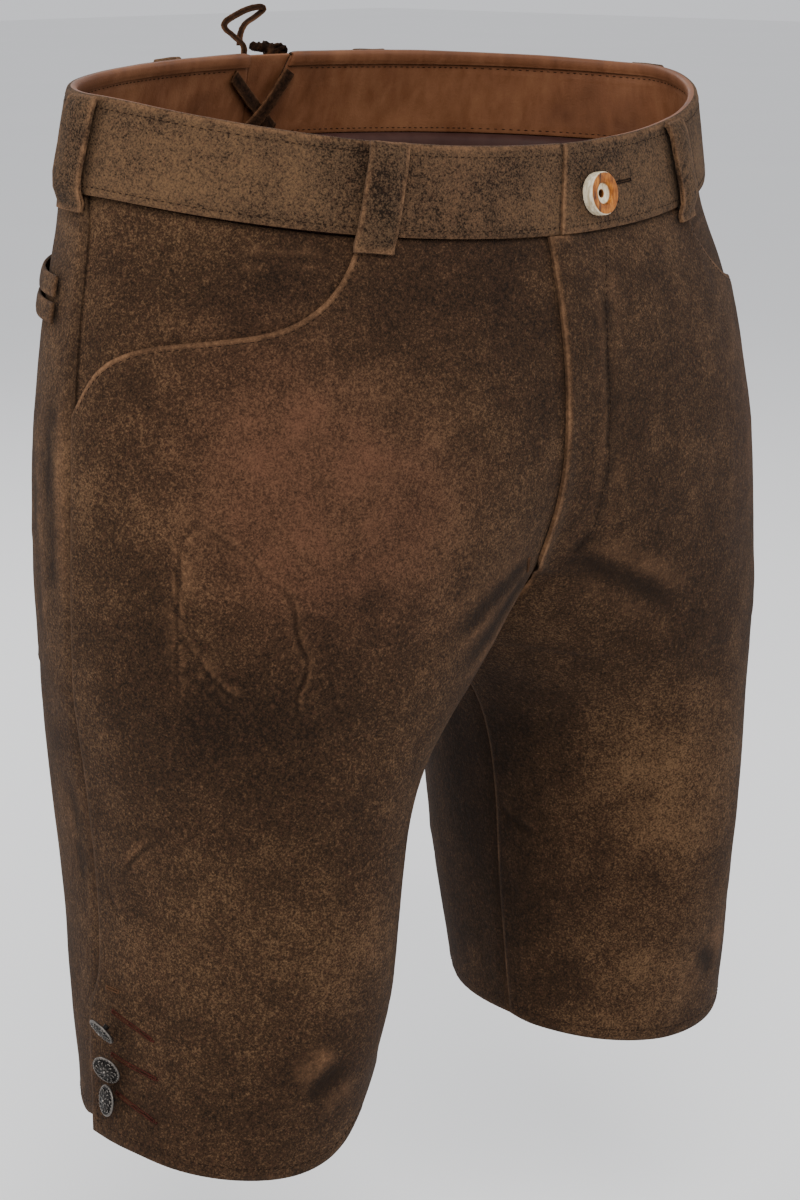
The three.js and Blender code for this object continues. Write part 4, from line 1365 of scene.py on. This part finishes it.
def curl(bm, centre, radius, start, sweep, thick, lift):
    """A rounded wire bent round part of a circle, lying on the dome."""
    ring = bmesh.ops.create_circle(bm, segments=6, radius=thick * MM)["verts"]
    angle = math.radians(start)
    spot = Vector((centre[0] + radius * math.cos(angle), centre[1] + radius * math.sin(angle), lift)) * MM
    upright = Matrix.Rotation(angle, 4, "Z") @ Matrix.Rotation(math.pi / 2, 4, "X")
    bmesh.ops.transform(bm, matrix=Matrix.Translation(spot) @ upright, verts=ring)
    edges = list({e for v in ring for e in v.link_edges})
    bmesh.ops.spin(
        bm, geom=list(ring) + edges, cent=Vector((centre[0], centre[1], lift)) * MM, axis=(0, 0, 1),
        angle=math.radians(sweep), steps=7,
    )


def dome_height(radius):
    return 3.9 + 1.05 * (1 - (radius / 7.2) ** 2)


def pewter_button(node_name, name, turn):
    """A domed disc with a beaded rim, and leaf scrolls round a small flower."""
    axes = seat(node_name)
    bm = bmesh.new()
    spun(bm, PEWTER_PROFILE, 40)
    for k in range(BEADS):
        angle = 2 * math.pi * k / BEADS
        spot = Matrix.Translation(Vector((7.5 * math.cos(angle), 7.5 * math.sin(angle), 4.05)) * MM)
        bmesh.ops.create_icosphere(bm, subdivisions=1, radius=0.4 * MM, matrix=spot)
    for k in range(LEAVES):
        angle = 360 // LEAVES * k + turn
        c, s = math.cos(math.radians(angle)), math.sin(math.radians(angle))
        near = (4.6 * c, 4.6 * s)
        curl(bm, near, 1.25, angle + 40, 250, 0.32, dome_height(4.6))
        far = (5.6 * math.cos(math.radians(angle + 30)), 5.6 * math.sin(math.radians(angle + 30)))
        curl(bm, far, 0.8, angle + 200, -240, 0.28, dome_height(5.6))
        leaf = Matrix.Translation(
            Vector((2.2 * c, 2.2 * s, dome_height(2.2))) * MM
        ) @ Matrix.Rotation(math.radians(angle), 4, "Z")
        bmesh.ops.create_icosphere(
            bm, subdivisions=1, radius=1, matrix=leaf @ Matrix.Diagonal((1.15 * MM, 0.5 * MM, 0.4 * MM, 1))
        )
    bmesh.ops.create_icosphere(
        bm, subdivisions=2, radius=0.8 * MM, matrix=Matrix.Translation(Vector((0, 0, 4.95)) * MM)
    )
    bmesh.ops.holes_fill(bm, edges=[e for e in bm.edges if e.is_boundary], sides=8)
    bmesh.ops.recalc_face_normals(bm, faces=bm.faces)
    wear = []
    for vert in bm.verts:
        x, y, z = (value / MM for value in vert.co)
        radius = math.hypot(x, y)
        above = z - (dome_height(radius) if radius < 7 else 3.9)
        rim = 0.62 * soften(radius, 7.3, 7.7) * soften(z, 3.0, 3.5)
        wear.append(max(rim, min(1.0, max(0.0, 0.22 + above * 1.3))) if z > 3.0 else 0.15)
    bmesh.ops.transform(
        bm, matrix=axes @ Matrix.Diagonal((PEWTER_SCALE, PEWTER_SCALE, 1, 1)), verts=bm.verts
    )
    return publish(name, bm, PEWTER, [node_name], marks={"wear": wear})


for side in (RIGHT, LEFT):
    for n, level in enumerate(("top", "middle", "bottom")):
        word = f"{WORDS[side]}_{level}"
        pewter_button("hem_button_" + word, "filigree_button_" + word, 17 * n + 5)


# ---- buttonholes and bar tacks ----
def buttonhole(bm, skin, start, end, width, step=0.62):
    """Close slanting stitches on both sides of a slit, and a bar across each end."""
    line = flow([start, end], 0.2 * MM)
    total = (end - start).length / MM
    count = int(total / step)
    for k in range(count + 1):
        point = line[min(int(k / count * (len(line) - 1)), len(line) - 1)]
        spot, normal, _, _ = skin.find_nearest(point)
        along = (end - start).normalized()
        across = normal.cross(along).normalized()
        along = across.cross(normal)
        for way in (-1, 1):
            middle = spot + across * way * width * 0.33 * MM + normal * 0.25 * MM
            axes = Matrix((across, along, normal)).transposed().to_4x4()
            size = Matrix.Diagonal((width * 0.24 * MM, 0.34 * MM, 0.4 * MM, 1))
            jitter = Matrix.Rotation(random.uniform(-0.35, 0.35), 4, "Z")
            bmesh.ops.create_icosphere(
                bm, subdivisions=1, radius=1, matrix=Matrix.Translation(middle) @ axes @ jitter @ size
            )
    for tip in (start, end):
        spot, normal, _, _ = skin.find_nearest(tip)
        across = normal.cross((end - start).normalized()).normalized()
        along = across.cross(normal)
        axes = Matrix((across, along, normal)).transposed().to_4x4()
        size = Matrix.Diagonal((width / 2 * MM, 0.5 * MM, 0.4 * MM, 1))
        bmesh.ops.create_icosphere(
            bm, subdivisions=1, radius=1, matrix=Matrix.Translation(spot + normal * 0.2 * MM) @ axes @ size
        )


STRAY_STITCHES = 7
random.seed(7)
glimpses = bmesh.new()
for side in (RIGHT, LEFT):
    bm = bmesh.new()
    skin = panels["front_" + WORDS[side]][1]
    for (drop_a, angle_a), (drop_b, angle_b) in HEM_SLITS:
        ends = [
            skin.find_nearest(on_form(side, d, a, 2))[0] for d, a in ((drop_a, angle_a), (drop_b, angle_b))
        ]
        buttonhole(bm, skin, ends[0], ends[1], 2.0)
        for _ in range(STRAY_STITCHES):
            stray = ends[1].lerp(ends[0], random.uniform(-0.08, 0.14))
            turn = Matrix.Rotation(random.uniform(0, math.pi), 4, Vector(outward(side, drop_b, angle_b)))
            size = Matrix.Diagonal((1.3 * MM, 0.3 * MM, 0.3 * MM, 1))
            bmesh.ops.create_icosphere(
                bm, subdivisions=1, radius=1, matrix=Matrix.Translation(stray) @ turn @ size
            )
        buttonhole(glimpses, skin, ends[0].lerp(ends[1], 0.12), ends[0].lerp(ends[1], 0.42), 0.7)
    publish("hem_buttonholes_" + WORDS[side], bm, BURGUNDY)

publish("buttonhole_edges", glimpses, LIGHT_THREAD)

bm = bmesh.new()
tab_skin = panels["waistband_left"][1]
ends = [tab_skin.find_nearest(on_form(LEFT, d, a, 2))[0] for d, a in ((22, 98), (21.5, 106))]
buttonhole(bm, tab_skin, ends[0], ends[1], 1.5)
publish("tab_buttonhole", bm, THREAD)


def bar_tack(bm, skin, start, end, width):
    """A short dense bar of crosswise stitches."""
    buttonhole(bm, skin, start, end, width, 0.5)


bm = bmesh.new()
fly_skin = panels["front_right"][1]
bar_tack(bm, fly_skin, on_form(RIGHT, 195, 68), on_form(RIGHT, 203, 63), 1.6)
for side in (RIGHT, LEFT):
    skin = panels["front_" + WORDS[side]][1]
    bar_tack(bm, skin, on_form(side, 395, 187), on_form(side, 395, 182), 1.8)
publish("bar_tacks", bm, LIGHT_THREAD)

sew("topstitching", rows, THREAD)

# ---- what is flexible, and how it is cut ----
FLATS = {
    "front": (0.285, 0.425, 0.106),
    "back": (0.290, 0.430, 0.108),
    "waistband": (0.470, 0.052, None),
    "inner_band": (0.462, 0.038, None),
    "pocket_facing": (0.130, 0.115, 0.0105),
}
for key, (wide, long, area) in FLATS.items():
    for side in (RIGHT, LEFT):
        piece = panels[f"{key}_{WORDS[side]}"][0]
